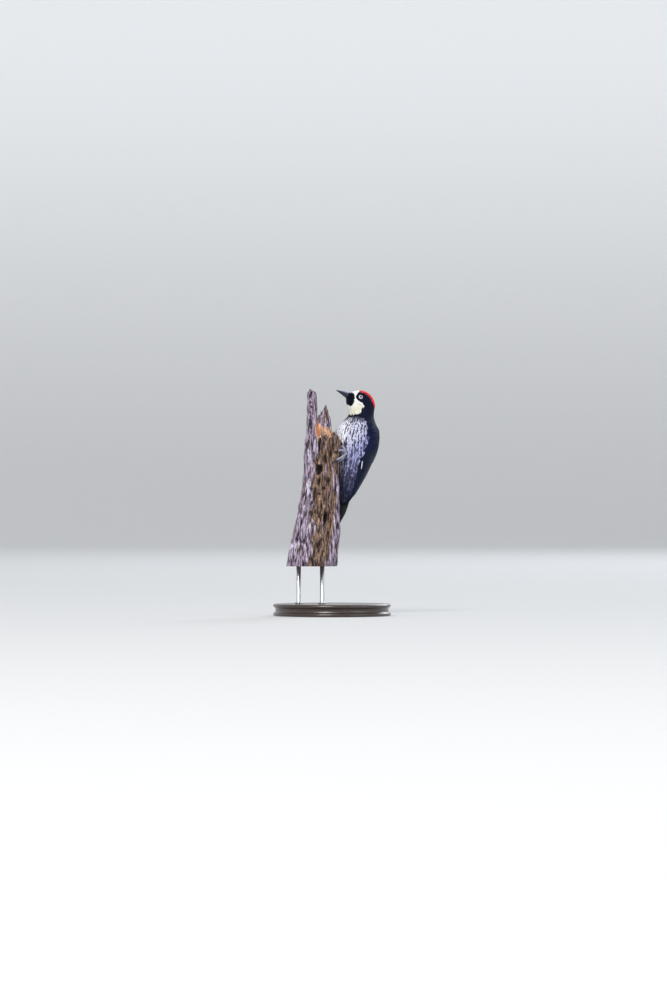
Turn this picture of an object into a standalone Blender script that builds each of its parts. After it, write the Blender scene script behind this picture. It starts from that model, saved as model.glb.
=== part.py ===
"""Acorn woodpecker, adult male, life size: it clings upright to the broken spire of a dead tree.

The spire is a short cut length of the trunk, held by two rods over a round base. Tables are in
millimetres and the scene in metres, +Z up, with the origin under the middle of the base.
"""

import math

import bmesh
import bpy
import numpy as np
from mathutils import Matrix, Vector
from mathutils.bvhtree import BVHTree

MM = 0.001
GAP = 0.35  # clearance between neighbouring pieces
BELLY_TURN = math.radians(35)  # how far the belly is turned from -X towards -Y
HEAD_TURN = math.radians(-13)  # the head looks back towards -X by this much
BIRD_AXIS = (-12.4, -13.5)  # the plan point that the belly faces; b is measured from it
NECK_B = 61.5  # distance of the neck's axis from that point
SIDES = {"left": 1.0, "right": -1.0}

# Outline of the bird in its plane of symmetry: the back's b and z, the front's b and z, and the
# half-width. Stations 0-8 are the head and neck, 9-17 the trunk, and 18-20 only guide the wing tips.
OUTLINE = (
    (46.4, 294.5, 41.2, 288.2, 3.9),
    (49.4, 296.8, 41.6, 283.6, 7.4),
    (53.6, 298.3, 42.8, 279.6, 10.2),
    (59.4, 299.1, 44.0, 276.0, 12.2),
    (66.2, 298.2, 44.9, 273.0, 13.4),
    (73.0, 294.8, 45.4, 270.6, 14.0),
    (78.6, 288.2, 45.4, 268.4, 14.3),
    (81.2, 280.0, 45.1, 266.4, 14.7),
    (79.6, 270.6, 43.9, 264.0, 15.8),
    (79.0, 262.8, 40.4, 260.4, 18.8),
    (80.8, 254.5, 34.5, 254.6, 23.2),
    (81.4, 243.5, 26.4, 245.2, 27.4),
    (80.6, 231.5, 22.8, 232.5, 28.8),
    (77.8, 219.0, 23.4, 218.5, 28.2),
    (71.0, 205.0, 24.8, 203.5, 26.0),
    (60.4, 184.5, 25.4, 183.0, 20.6),
    (49.6, 167.5, 26.2, 168.0, 15.4),
    (43.4, 157.5, 28.0, 158.0, 12.6),
    (39.4, 150.0, 28.0, 150.0, 11.6),
    (34.4, 139.0, 26.0, 139.0, 9.0),
    (31.0, 132.0, 24.0, 132.0, 7.0),
)
HEAD_END = 6.4  # stations where the head meets the neck, the neck the trunk, and the trunk ends
NECK_END = 9.3
TRUNK_END = 17.0
PART_GAP = 0.13  # stations left open between two of these pieces

# The bill from its base to its tip: the ridge, the line where it opens, the keel, the half-width.
BILL = (
    (46.1, 294.8, 43.5, 291.4, 40.9, 288.5, 3.8),
    (41.8, 296.3, 39.6, 293.2, 37.8, 290.8, 3.3),
    (36.6, 297.6, 35.4, 295.1, 34.2, 293.3, 2.6),
    (31.6, 298.5, 31.2, 296.8, 30.6, 295.8, 1.7),
    (27.3, 298.4, 27.1, 297.9, 27.5, 297.4, 0.7),
)

EYE_STATION = 3.78
EYE_ANGLE = math.radians(67)  # from the crown's ridge down the side of the head
EYE_RADIUS = 4.2
EYE_PROUD = 1.2  # how far the ball stands out of the feathers

# A folded wing by station: the angles of its upper and lower edges from the back's ridge, and its
# greatest thickness over the trunk.
WING = (
    (10.2, 46.0, 76.0, 0.9),
    (10.8, 34.0, 88.0, 2.2),
    (11.8, 26.0, 94.0, 2.8),
    (13.0, 20.0, 98.0, 2.7),
    (14.0, 17.0, 96.0, 2.5),
    (15.0, 15.0, 91.0, 2.3),
    (16.0, 13.0, 81.0, 2.1),
    (17.0, 12.0, 70.0, 1.9),
    (18.0, 12.0, 60.0, 1.6),
    (19.0, 24.0, 46.0, 1.2),
)

WING_LIFT = 0.65  # from the trunk's surface to the wing's underside

# The closed tail from the coverts to its point: b, z, half-width and thickness.
TAIL = (
    (38.0, 156.9, 13.2, 3.2),
    (33.8, 147.0, 14.2, 2.9),
    (29.8, 136.0, 12.8, 2.5),
    (25.8, 126.0, 8.8, 2.1),
    (23.4, 119.0, 5.6, 1.8),
    (22.0, 113.6, 1.6, 1.4),
)

# Each leg: the knuckle where its toes meet, the point inside the belly that its shank comes from,
# and its four toes, each as a bend, an end and the claw's tip. Ends and tips are set on the wood.
LEGS = {
    "left": {
        "knuckle": (18.2, -12.0, 215.0),
        "leg": (21.4, -4.0, 211.0),
        "toes": (
            ((14.6, -10.6, 208.6), (9.8, -9.8, 203.8), (7.6, -9.6, 198.0)),
            ((16.8, -15.6, 220.4), (13.4, -17.0, 225.4), (11.6, -18.0, 231.0)),
            ((14.6, -19.0, 218.6), (10.5, -23.0, 219.6), (5.0, -27.0, 218.4)),
            ((14.4, -19.6, 211.0), (9.6, -25.0, 208.0), (3.0, -29.0, 205.4)),
        ),
    },
    "right": {
        "knuckle": (-3.0, 4.6, 219.0),
        "leg": (11.0, 10.5, 212.0),
        "toes": (
            ((-1.8, 1.4, 212.8), (0.0, -2.0, 208.0), (0.8, -4.6, 202.4)),
            ((-2.8, 1.8, 224.6), (-2.4, -1.4, 229.4), (-2.2, -2.4, 235.2)),
            ((-7.6, 2.2, 223.4), (-12.0, -0.4, 226.2), (-17.6, -1.4, 228.4)),
            ((-8.2, 2.2, 216.2), (-13.4, -0.2, 214.2), (-19.4, -2.2, 212.2)),
        ),
    },
}
TOE_RADIUS = 1.35
LEG_RADIUS = 1.6
CLAW_RADIUS = 1.15

# The spire by height: z, the middle in X and Y, and the half-width and half-depth.
SPIRE = (
    (66.0, -28.0, -16.0, 33.0, 29.0),
    (90.0, -25.5, -16.0, 32.6, 28.0),
    (107.0, -22.2, -16.0, 32.2, 26.6),
    (127.0, -19.6, -16.0, 29.3, 25.2),
    (153.0, -16.2, -16.0, 25.6, 20.6),
    (180.0, -14.0, -16.0, 23.2, 17.0),
    (203.0, -13.5, -16.0, 22.2, 14.8),
    (220.0, -12.8, -16.0, 22.6, 14.2),
    (235.0, -12.4, -16.0, 23.0, 13.4),
    (241.0, -14.0, -16.0, 20.0, 11.0),
)
# What still stands above the break: a tall thin stave, a pointed splinter and a blunt shoulder.
STAVE = (
    (214.0, -26.6, -17.5, 7.4, 6.0),
    (245.0, -26.4, -18.0, 7.0, 5.6),
    (275.0, -26.3, -18.4, 6.8, 5.2),
    (293.0, -26.6, -18.6, 6.2, 4.4),
    (296.6, -27.8, -18.7, 4.0, 2.8),
    (299.8, -29.0, -18.8, 0.9, 1.1),
)
SPLINTER = (
    (224.0, -9.4, -17.0, 9.6, 6.6),
    (256.0, -9.8, -17.6, 8.6, 5.6),
    (266.0, -10.4, -18.0, 7.0, 4.8),
    (272.0, -9.2, -18.2, 4.2, 3.6),
    (278.6, -8.0, -18.4, 0.8, 0.9),
)
SHOULDER = (
    (203.0, 1.6, -16.5, 5.6, 6.0),
    (214.0, 3.6, -16.5, 6.4, 7.2),
    (224.0, 5.2, -16.5, 6.5, 7.2),
    (236.0, 5.6, -16.5, 6.2, 6.8),
    (243.0, 4.4, -16.5, 4.4, 4.8),
)
BREAK_START = 228.0  # from here up the wood's ends are torn to different heights
BREAK_DEPTH = 1.9
KNOT_HOLE = (math.radians(262), 194.0, 0.34)  # plan angle, height and depth as a share

BASE_RADIUS = 78.0
BASE_HEIGHT = 16.0
BASE_BEVEL = 2.5
ROD_RADIUS = 3.0
ROD_PLACES = ((-44.0, -16.0), (-13.0, -16.0))
ROD_IN_BASE = 10.0
ROD_IN_WOOD = 18.0
PERCH_BOTTOM = SPIRE[0][0]


def clear_scene():
    for thing in list(bpy.data.objects):
        bpy.data.objects.remove(thing)


def new_collection(name):
    collection = bpy.data.collections.new(name)
    bpy.context.scene.collection.children.link(collection)
    return collection


def material(name, colour, roughness, metallic=0.0):
    made = bpy.data.materials.new(name)
    made.use_nodes = True
    shader = made.node_tree.nodes["Principled BSDF"]
    shader.inputs["Base Color"].default_value = (*colour, 1.0)
    shader.inputs["Roughness"].default_value = roughness
    shader.inputs["Metallic"].default_value = metallic
    return made


def mesh_object(name, mesh, collection, finish):
    made = bpy.data.objects.new(name, mesh)
    mesh.materials.append(finish)
    collection.objects.link(made)
    mesh.shade_smooth()
    mesh.set_sharp_from_angle(angle=math.radians(40))
    return made


def as_cutter(thing):
    for collection in list(thing.users_collection):
        collection.objects.unlink(thing)
    cutters.objects.link(thing)
    thing.hide_render = True
    thing.display_type = "WIRE"
    return thing


def boolean(thing, other, operation):
    modifier = thing.modifiers.new(operation.title(), "BOOLEAN")
    modifier.operation = operation
    modifier.object = other
    modifier.solver = "EXACT"


def through(table, t):
    """Catmull-Rom curve through the rows of a table at t, counted in rows."""
    rows = np.asarray(table, float)
    t = np.clip(np.atleast_1d(t).astype(float), 0, len(rows) - 1)
    i = np.minimum(t.astype(int), len(rows) - 2)
    f = (t - i)[:, None]
    a = rows[np.maximum(i - 1, 0)]
    b = rows[i]
    c = rows[i + 1]
    d = rows[np.minimum(i + 2, len(rows) - 1)]
    return b + 0.5 * f * (c - a + f * (2 * a - 5 * b + 4 * c - d + f * (3 * (b - c) + d - a)))


def eased(x):
    x = np.clip(x, 0, 1)
    return x * x * (3 - 2 * x)


def to_world(b, side, z, turn):
    """From the bird's own b, left and up, turned about the neck's axis, to X, Y and Z."""
    away = np.array((math.cos(BELLY_TURN), math.sin(BELLY_TURN)))
    left = np.array((math.sin(BELLY_TURN), -math.cos(BELLY_TURN)))
    c = np.cos(turn)
    s = np.sin(turn)
    from_neck = (b - NECK_B)[..., None] * away + side[..., None] * left
    x = c * from_neck[..., 0] - s * from_neck[..., 1] + BIRD_AXIS[0] + NECK_B * away[0]
    y = s * from_neck[..., 0] + c * from_neck[..., 1] + BIRD_AXIS[1] + NECK_B * away[1]
    return np.stack((x, y, z + 0 * x), -1)


def body_point(t, angle, lift=0.0):
    """The plumage's surface at station t, at an angle from the back's ridge towards the left side."""
    t, angle, lift = np.broadcast_arrays(np.asarray(t, float), angle, lift)
    row = through(OUTLINE, t.ravel()).reshape(*t.shape, 5)
    back = row[..., 0:2]
    front = row[..., 2:4]
    middle = (back + front) / 2
    reach = (back - front) / 2
    grown = 1 + lift / np.linalg.norm(reach, axis=-1)
    along = middle + reach * (grown * np.cos(angle))[..., None]
    side = (row[..., 4] + lift) * np.sin(angle)
    turn = HEAD_TURN * (1 - eased((t - 7.0) / 4.0))
    return to_world(along[..., 0], side, along[..., 1], turn)


def loft(name, rings, collection, finish):
    """A closed solid through rings of points, an array of rings, points and X, Y, Z in millimetres."""
    work = bmesh.new()
    rows = [[work.verts.new(point) for point in ring] for ring in np.asarray(rings) * MM]
    for low, high in zip(rows, rows[1:]):
        for i in range(len(low)):
            work.faces.new((low[i - 1], low[i], high[i], high[i - 1]))
    work.faces.new(rows[0][::-1])
    work.faces.new(rows[-1])
    bmesh.ops.triangulate(work, faces=[f for f in work.faces if len(f.verts) > 4])
    bmesh.ops.recalc_face_normals(work, faces=work.faces)
    mesh = bpy.data.meshes.new(name)
    work.to_mesh(mesh)
    work.free()
    return mesh_object(name, mesh, collection, finish)


def around(count):
    return np.linspace(0, 2 * math.pi, count, endpoint=False)


def trunk_piece(name, start, end, rings, finish, lift=0.0):
    stations = np.linspace(start, end, rings)[:, None]
    return loft(name, body_point(stations, around(28)[None], lift), bird, finish)


def ball(name, centre, radius, finish, facing=(0.0, 0.0, 1.0), segments=14, rings=9):
    """A ball whose poles lie along the direction it faces."""
    work = bmesh.new()
    bmesh.ops.create_uvsphere(work, u_segments=segments, v_segments=rings, radius=radius * MM)
    mesh = bpy.data.meshes.new(name)
    work.to_mesh(mesh)
    work.free()
    made = mesh_object(name, mesh, bird, finish)
    made.location = Vector(centre) * MM
    made.rotation_euler = Vector(facing).to_track_quat("Z", "Y").to_euler()
    return made


def head_and_body():
    head = trunk_piece("head", 0.0, HEAD_END, 16, plumage_black)
    trunk_piece("neck", HEAD_END + PART_GAP, NECK_END, 8, plumage_black)
    trunk_piece("trunk", NECK_END + PART_GAP, TRUNK_END, 18, plumage_streaked)
    for side, sign in SIDES.items():
        surface = body_point(EYE_STATION, sign * EYE_ANGLE)
        inside = body_point(EYE_STATION, sign * EYE_ANGLE, -6.0)
        outwards = (surface - inside) / np.linalg.norm(surface - inside)
        centre = surface - outwards * (EYE_RADIUS - EYE_PROUD)
        ball("eye_" + side, centre, EYE_RADIUS, eye_white, outwards)
        socket = ball("socket_" + side, centre, EYE_RADIUS + GAP, eye_white, outwards, 15, 11)
        boolean(head, as_cutter(socket), "DIFFERENCE")


def bill():
    """Two halves that meet along the gape, each a loft of half ovals from the base to the tip."""
    rows = through(BILL, np.linspace(0, len(BILL) - 1, 10))
    angles = np.linspace(0, math.pi, 11)
    for name, edge in {"upper_bill": rows[:, 0:2], "lower_bill": rows[:, 4:6]}.items():
        opening = rows[:, 2:4]
        reach = edge - opening
        unit = reach / np.linalg.norm(reach, axis=1)[:, None]
        opening = opening + unit * GAP / 2
        reach = edge - opening
        rise = np.sin(angles)[None, :, None]
        along = opening[:, None] + reach[:, None] * rise
        side = rows[:, 6][:, None] * np.cos(angles)[None]
        points = to_world(along[..., 0], side, along[..., 1], HEAD_TURN)
        loft(name, points, bird, bill_horn)


def wings():
    """Each wing hugs the trunk: an outer and an inner arc joined at rounded edges."""
    rows = through(WING, np.linspace(0, len(WING) - 1, 18))
    share = np.linspace(0, 1, 9)
    crown = (1 - np.abs(2 * share - 1) ** 3) ** 0.5
    for side, sign in SIDES.items():
        station = rows[:, 0:1]
        angle = np.radians(rows[:, 1:2] + (rows[:, 2:3] - rows[:, 1:2]) * share)
        outer = body_point(station, sign * angle, WING_LIFT + 0.6 + rows[:, 3:4] * crown)
        inner = body_point(station, sign * angle, WING_LIFT)
        loft("wing_" + side, np.concatenate((outer, inner[:, ::-1]), axis=1), bird, wing_black)


def tail():
    rows = through(TAIL, np.linspace(0, len(TAIL) - 1, 12))
    angles = around(16)
    side = rows[:, 2:3] * np.cos(angles)
    along = np.gradient(rows[:, :2], axis=0)
    across = np.stack((along[:, 1], -along[:, 0]), 1)
    across /= np.linalg.norm(across, axis=1)[:, None]
    shift = across[:, None] * (rows[:, 3:4] / 2 * np.sin(angles))[..., None]
    sag = -1.2 * np.cos(angles) ** 2  # the edges curl towards the wood
    b = rows[:, 0:1] + shift[..., 0] + sag
    z = rows[:, 1:2] + shift[..., 1]
    loft("tail", to_world(b, side, z, 0.0), bird, tail_black)


def on_wood(point, clearance, wood):
    """The point, moved so that it lies this far outside the nearest wood."""
    spot, normal, _, _ = wood.find_nearest(Vector(point) * MM)
    return np.array(spot / MM + normal * clearance)


def kept_off(points, radii, wood):
    """The points of a line, moved out wherever a tube of these radii would touch the wood."""
    moved = []
    for point, radius in zip(points, radii):
        spot, normal, _, _ = wood.find_nearest(Vector(point) * MM)
        height = (Vector(point) - spot / MM).dot(normal)
        moved.append(point + np.array(normal) * max(radius + GAP - height, 0.0))
    return np.array(moved)


def tube(name, points, radii, finish, sides=8):
    """A mesh tube along a smooth line, with flat ends and its own radius at each point."""
    points = np.asarray(points, float)
    steps = np.gradient(points, axis=0)
    steps /= np.linalg.norm(steps, axis=1)[:, None]
    bow = points[len(points) // 2] - (points[0] + points[-1]) / 2 + (0.0, 1e-3, 0.0)
    guide = np.cross(points[-1] - points[0], bow)
    first = np.cross(steps, guide)
    first /= np.linalg.norm(first, axis=1)[:, None]
    second = np.cross(steps, first)
    angles = around(sides)
    ring = first[:, None] * np.cos(angles)[:, None] + second[:, None] * np.sin(angles)[:, None]
    rings = points[:, None] + ring * np.asarray(radii, float)[:, None, None]
    return loft(name, rings, bird, finish)


def toe_and_claw(name, knuckle, toe, wood):
    """A toe from the knuckle to the wood, and the hooked claw that goes on along the same curve."""
    bend, end, tip = np.array(toe)
    near_end = on_wood(end, TOE_RADIUS + GAP + 0.2, wood)
    over_tip = on_wood(end * 0.45 + tip * 0.55, CLAW_RADIUS + GAP, wood)
    tip = on_wood(tip, GAP + 0.35, wood)
    route = np.array((knuckle + (bend - knuckle) * 0.2, bend, near_end, over_tip, tip))
    radii = TOE_RADIUS * np.linspace(1.15, 0.92, 7)
    line = kept_off(through(route, np.linspace(0, 2, 7)), radii, wood)
    share = np.linspace(0, 1, 7)
    claw_line = through(route, 2.2 + 1.8 * share)
    tube("claw_" + name, claw_line, CLAW_RADIUS * (1 - share) ** 0.7 + 0.2, claw_horn, 6)
    return tube("toe_" + name, line, radii, foot_skin, 7)


def leg(side, plan, wood, trunk_swollen):
    """The bare shank and the four toes are one skin, so they are joined into one solid."""
    knuckle = np.array(plan["knuckle"])
    start = np.array(plan["leg"])
    share = np.linspace(0, 1, 3)[:, None]
    shank = tube("leg_" + side, start + (knuckle - start) * share, [LEG_RADIUS] * 3, foot_skin)
    pad = as_cutter(ball("knuckle_" + side, knuckle, TOE_RADIUS * 1.7, foot_skin, (1, 2, 3), 10, 7))
    boolean(shank, pad, "UNION")
    for number, toe in enumerate(plan["toes"], 1):
        made = toe_and_claw(f"{side}_{number}", knuckle, toe, wood)
        boolean(shank, as_cutter(made), "UNION")
    boolean(shank, trunk_swollen, "DIFFERENCE")


def wood_ring(row, angles, phase):
    """One ring of weathered wood: an oval whose edge is grooved along the grain."""
    z, x, y, width, depth = row
    grain = 0.030 * np.cos(5 * angles + phase + 0.010 * z)
    grain += 0.022 * np.cos(9 * angles - phase - 0.017 * z)
    grain += 0.016 * np.cos(14 * angles + 2 * phase + 0.05 * np.sin(z / 11))
    angle, height, share = KNOT_HOLE
    turn = (angles - angle + math.pi) % (2 * math.pi) - math.pi
    hole = share * np.exp(-((turn / 0.17) ** 2) - ((z - height) / 4.6) ** 2)
    reach = 1 + grain - hole * (phase == 0)
    torn = BREAK_DEPTH * np.clip((z - BREAK_START) / 10, 0, 1) * width / SPIRE[-1][3]
    torn = torn * (np.cos(3 * angles + 0.8) + 0.6 * np.cos(7 * angles))
    return np.stack((x + width * reach * np.cos(angles), y + depth * reach * np.sin(angles), z + torn), 1)


def wood_piece(name, table, rings, sides, phase):
    rows = through(table, np.linspace(0, len(table) - 1, rings))
    return loft(name, [wood_ring(row, around(sides), phase) for row in rows], mount, dead_wood)


def perch():
    spire = wood_piece("perch", SPIRE, 22, 26, 0.0)
    above = {"stave": (STAVE, 14, 12), "splinter": (SPLINTER, 12, 12), "shoulder": (SHOULDER, 7, 12)}
    for number, (name, (table, rings, sides)) in enumerate(above.items(), 1):
        boolean(spire, as_cutter(wood_piece(name, table, rings, sides, 1.7 * number)), "UNION")
    for number, (x, y) in enumerate(ROD_PLACES, 1):
        top = PERCH_BOTTOM + ROD_IN_WOOD
        hole = cylinder(f"rod_hole_{number}", ROD_RADIUS + GAP, PERCH_BOTTOM - 5, top, rod_steel)
        hole.location.xy = x * MM, y * MM
        boolean(spire, as_cutter(hole), "DIFFERENCE")
    return spire


def cylinder(name, radius, low, high, finish, sides=16):
    """An upright cylinder about its own Z axis, between two heights."""
    work = bmesh.new()
    height = (high - low) * MM
    bmesh.ops.create_cone(work, cap_ends=True, segments=sides, radius1=radius * MM, radius2=radius * MM,
                          depth=height, matrix=Matrix.Translation((0, 0, low * MM + height / 2)))
    mesh = bpy.data.meshes.new(name)
    work.to_mesh(mesh)
    work.free()
    return mesh_object(name, mesh, mount, finish)


def stand():
    base = cylinder("stand_base", BASE_RADIUS, 0.0, BASE_HEIGHT, base_lacquer, 40)
    bevel = base.modifiers.new("Edge", "BEVEL")
    bevel.width = BASE_BEVEL * MM
    bevel.segments = 2
    bevel.limit_method = "ANGLE"
    for number, (x, y) in enumerate(ROD_PLACES, 1):
        foot = BASE_HEIGHT - ROD_IN_BASE
        top = PERCH_BOTTOM + ROD_IN_WOOD
        seat = cylinder(f"rod_seat_{number}", ROD_RADIUS + GAP, foot, BASE_HEIGHT + 5, rod_steel)
        rod = cylinder(f"stand_rod_{number}", ROD_RADIUS, foot + GAP, top - GAP, rod_steel)
        for piece in (seat, rod):
            piece.location.xy = x * MM, y * MM
        boolean(base, as_cutter(seat), "DIFFERENCE")


clear_scene()
bird = new_collection("woodpecker")
mount = new_collection("perch_and_stand")
cutters = new_collection("cutters")
plumage_black = material("plumage_black", (0.012, 0.013, 0.020), 0.45)
plumage_streaked = material("plumage_streaked", (0.42, 0.42, 0.44), 0.70)
wing_black = material("wing_black", (0.012, 0.013, 0.022), 0.40)
tail_black = material("tail_black", (0.011, 0.011, 0.014), 0.50)
bill_horn = material("bill_horn", (0.030, 0.032, 0.038), 0.32)
eye_white = material("eye_white", (0.80, 0.78, 0.74), 0.12)
foot_skin = material("foot_skin", (0.20, 0.21, 0.20), 0.60)
claw_horn = material("claw_horn", (0.05, 0.05, 0.05), 0.35)
dead_wood = material("dead_wood", (0.24, 0.19, 0.16), 0.85)
base_lacquer = material("base_lacquer", (0.035, 0.030, 0.028), 0.35)
rod_steel = material("rod_steel", (0.55, 0.55, 0.56), 0.30, 1.0)

stand()
spire = perch()
bpy.context.view_layer.update()
wood_tree = BVHTree.FromObject(spire, bpy.context.evaluated_depsgraph_get())
head_and_body()
swollen_trunk = trunk_piece("swollen_trunk", NECK_END, TRUNK_END, 20, plumage_streaked, GAP)
as_cutter(swollen_trunk)
bill()
wings()
tail()
for leg_side, leg_plan in LEGS.items():
    leg(leg_side, leg_plan, wood_tree, swollen_trunk)
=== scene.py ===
"""Acorn woodpecker on the broken spire of a dead tree: every piece and its finish, in the order of assembly.

Lengths in the tables are in millimetres. Meshes are made in metres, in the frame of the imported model.
"""

import math

import bpy
import numpy as np
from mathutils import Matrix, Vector
from mathutils.bvhtree import BVHTree


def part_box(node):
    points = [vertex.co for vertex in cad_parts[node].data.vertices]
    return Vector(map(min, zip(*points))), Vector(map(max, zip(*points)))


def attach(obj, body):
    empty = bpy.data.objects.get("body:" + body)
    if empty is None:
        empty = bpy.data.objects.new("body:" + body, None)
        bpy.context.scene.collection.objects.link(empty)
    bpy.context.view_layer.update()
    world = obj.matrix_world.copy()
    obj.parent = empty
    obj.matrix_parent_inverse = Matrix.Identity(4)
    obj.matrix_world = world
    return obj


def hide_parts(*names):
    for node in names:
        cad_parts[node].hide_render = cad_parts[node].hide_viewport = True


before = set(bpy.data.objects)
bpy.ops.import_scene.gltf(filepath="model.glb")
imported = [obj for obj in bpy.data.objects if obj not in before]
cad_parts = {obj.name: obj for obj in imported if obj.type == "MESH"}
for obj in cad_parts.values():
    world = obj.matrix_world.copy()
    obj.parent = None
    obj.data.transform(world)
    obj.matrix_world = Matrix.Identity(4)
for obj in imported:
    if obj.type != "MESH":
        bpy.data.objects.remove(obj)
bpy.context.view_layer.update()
MM = 0.001

# The studio. A pale matt floor sweeps up into a round wall far behind the model, large soft lamps
# hang to the left, to the right and behind, and the camera stands level with the middle of the perch.
VIEW_DISTANCE = 6.0
VIEW_HEIGHT = 1.3245  # metres that the view takes in, top to bottom, at the model
VIEW_CENTRE = (0.002, 0.1534)
SENSOR = 36.0
FLOOR_RADIUS = 9000.0
COVE_RADIUS = 4000.0
WALL_TOP = 7000.0
PAPER_FADE = 2.2  # metres up to which the paper grows paler; the darker floor below is painted shade against the lamps' light
AIM = Vector((0.01, 0.0, 0.22))  # the middle of the breast


def wire(tree, node, inputs):
    """Sets each of a node's inputs to a value, or links it from another node's output."""
    for key, value in inputs.items():
        if isinstance(value, bpy.types.NodeSocket):
            tree.links.new(value, node.inputs[key])
        else:
            node.inputs[key].default_value = value


def add(tree, kind, inputs=None, **settings):
    """A new shader node with its settings and its inputs."""
    node = tree.nodes.new(kind)
    for key, value in settings.items():
        setattr(node, key, value)
    wire(tree, node, inputs or {})
    return node


def mixed(tree, factor, a, b, blend_type="MIX"):
    """Two colours mixed by a factor."""
    inputs = {"Factor": factor, "A": a, "B": b}
    return add(tree, "ShaderNodeMix", inputs, data_type="RGBA", blend_type=blend_type).outputs["Result"]


def stepped(tree, value, low, high, first=0.0, last=1.0, kind="LINEAR"):
    """The value, mapped so that low becomes first and high becomes last."""
    inputs = {"Value": value, "From Min": low, "From Max": high, "To Min": first, "To Max": last}
    return add(tree, "ShaderNodeMapRange", inputs, interpolation_type=kind).outputs[0]


def material(name, **values):
    """A material, its node tree and its Principled shader, with constants set on the shader's own sockets."""
    made = bpy.data.materials.new(name)
    made.use_nodes = True
    shader = made.node_tree.nodes["Principled BSDF"]
    wire(made.node_tree, shader, {key.replace("_", " "): value for key, value in values.items()})
    return made, made.node_tree, shader


def shape(name, points, quads, finishes, triangles=(), maps=None, colours=None, numbers=None, wears=None):
    """One mesh object from points in millimetres, its quads and triangles, and what is stored on it."""
    quads = np.asarray(quads, np.int32).reshape(-1, 4)
    triangles = np.asarray(triangles, np.int32).reshape(-1, 3)
    corners = np.concatenate((quads.ravel(), triangles.ravel()))
    starts = np.concatenate((np.arange(len(quads)) * 4, quads.size + np.arange(len(triangles)) * 3))
    mesh = bpy.data.meshes.new(name)
    mesh.vertices.add(len(points))
    mesh.vertices.foreach_set("co", (np.asarray(points) * MM).astype(np.float32).ravel())
    mesh.loops.add(len(corners))
    mesh.loops.foreach_set("vertex_index", corners)
    mesh.polygons.add(len(starts))
    mesh.polygons.foreach_set("loop_start", starts.astype(np.int32))
    for finish in finishes:
        mesh.materials.append(finish)
    if wears is not None:
        mesh.polygons.foreach_set("material_index", np.asarray(wears, np.int32))
    for key, value in (maps or {}).items():
        at_corners = value if len(value) == len(corners) else value[corners]
        mesh.uv_layers.new(name=key).uv.foreach_set("vector", at_corners.astype(np.float32).ravel())
    for key, value in (colours or {}).items():
        layer = mesh.color_attributes.new(key, "FLOAT_COLOR", "POINT")
        with_alpha = np.concatenate((value, np.ones((len(value), 1))), axis=1)
        layer.data.foreach_set("color", with_alpha.astype(np.float32).ravel())
    for key, value in (numbers or {}).items():
        layer = mesh.attributes.new(key, "FLOAT", "POINT")
        layer.data.foreach_set("value", np.asarray(value, np.float32).ravel())
    mesh.update(calc_edges=True)
    mesh.shade_smooth()
    made = bpy.data.objects.new(name, mesh)
    bpy.context.scene.collection.objects.link(made)
    return made


def ring_angles(count):
    """Angles at even steps round a full turn."""
    return np.linspace(0, 2 * math.pi, count, endpoint=False)


def ring_quads(rows, columns):
    """For stacked rings: each point's number, that of the next in its ring, and the quads between rings."""
    grid = np.arange(rows * columns).reshape(rows, columns)
    after = np.roll(grid, -1, axis=1)
    return grid, after, np.stack((grid[:-1], after[:-1], after[1:], grid[1:]), -1).reshape(-1, 4)


def lofted(name, rings, finishes, numbers=None, colours=None, maps=None):
    """A closed surface over rings of points, with a point in the middle of each end."""
    rings = np.asarray(rings, float)
    rows, columns, _ = rings.shape
    low = rows * columns
    grid, after, quads = ring_quads(rows, columns)
    first = np.stack((after[0], grid[0], np.full(columns, low)), -1)
    last = np.stack((grid[-1], after[-1], np.full(columns, low + 1)), -1)

    def with_ends(values):
        ends = np.stack((values[0].mean(0), values[-1].mean(0)))
        return np.concatenate((values.reshape(low, *values.shape[2:]), ends))

    numbers = {key: with_ends(value) for key, value in (numbers or {}).items()}
    colours = {key: with_ends(value) for key, value in (colours or {}).items()}
    ends = np.concatenate((first, last))
    return shape(name, with_ends(rings), quads, finishes, ends, maps, colours, numbers)


def turned(name, profile, finish, middle=(0.0, 0.0), sides=128):
    """A turned piece: a profile of radius and height, from the bottom's middle to the top's, spun about Z."""
    radius, height = np.asarray(profile, float).T[..., None]
    x = middle[0] + radius * np.cos(ring_angles(sides))
    y = middle[1] + radius * np.sin(ring_angles(sides))
    return lofted(name, np.stack((x, y, height + 0 * x), -1), [finish])


def arc(centre, radius, start, end, count):
    """Points of radius and height along an arc between two angles in degrees."""
    angles = np.radians(np.linspace(start, end, count))
    return np.stack((centre[0] + radius * np.cos(angles), centre[1] + radius * np.sin(angles)), -1)


def paper_finish():
    """Matt paper, painted a shade darker on the floor, where the lamps reach it, than up the wall, as painted
    shade that evens out their light, and glowing faintly as painted light.
    """
    # painted light: a faint glow of the paper's own, though it is no lamp
    finish, tree, shader = material("studio_paper", Roughness=0.95, Specular_IOR_Level=0.1,
                                    Emission_Color=(1.0, 1.0, 1.0, 1.0), Emission_Strength=0.20)
    place = add(tree, "ShaderNodeTexCoord").outputs["Object"]
    height = add(tree, "ShaderNodeSeparateXYZ", {0: place}).outputs["Z"]
    # painted shade: the floor is darker than the wall where the lamps light it
    up = stepped(tree, height, 0.0, PAPER_FADE, kind="SMOOTHSTEP")
    wire(tree, shader, {"Base Color": mixed(tree, up, (0.42, 0.42, 0.42, 1), (0.80, 0.80, 0.80, 1))})
    return finish


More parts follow.
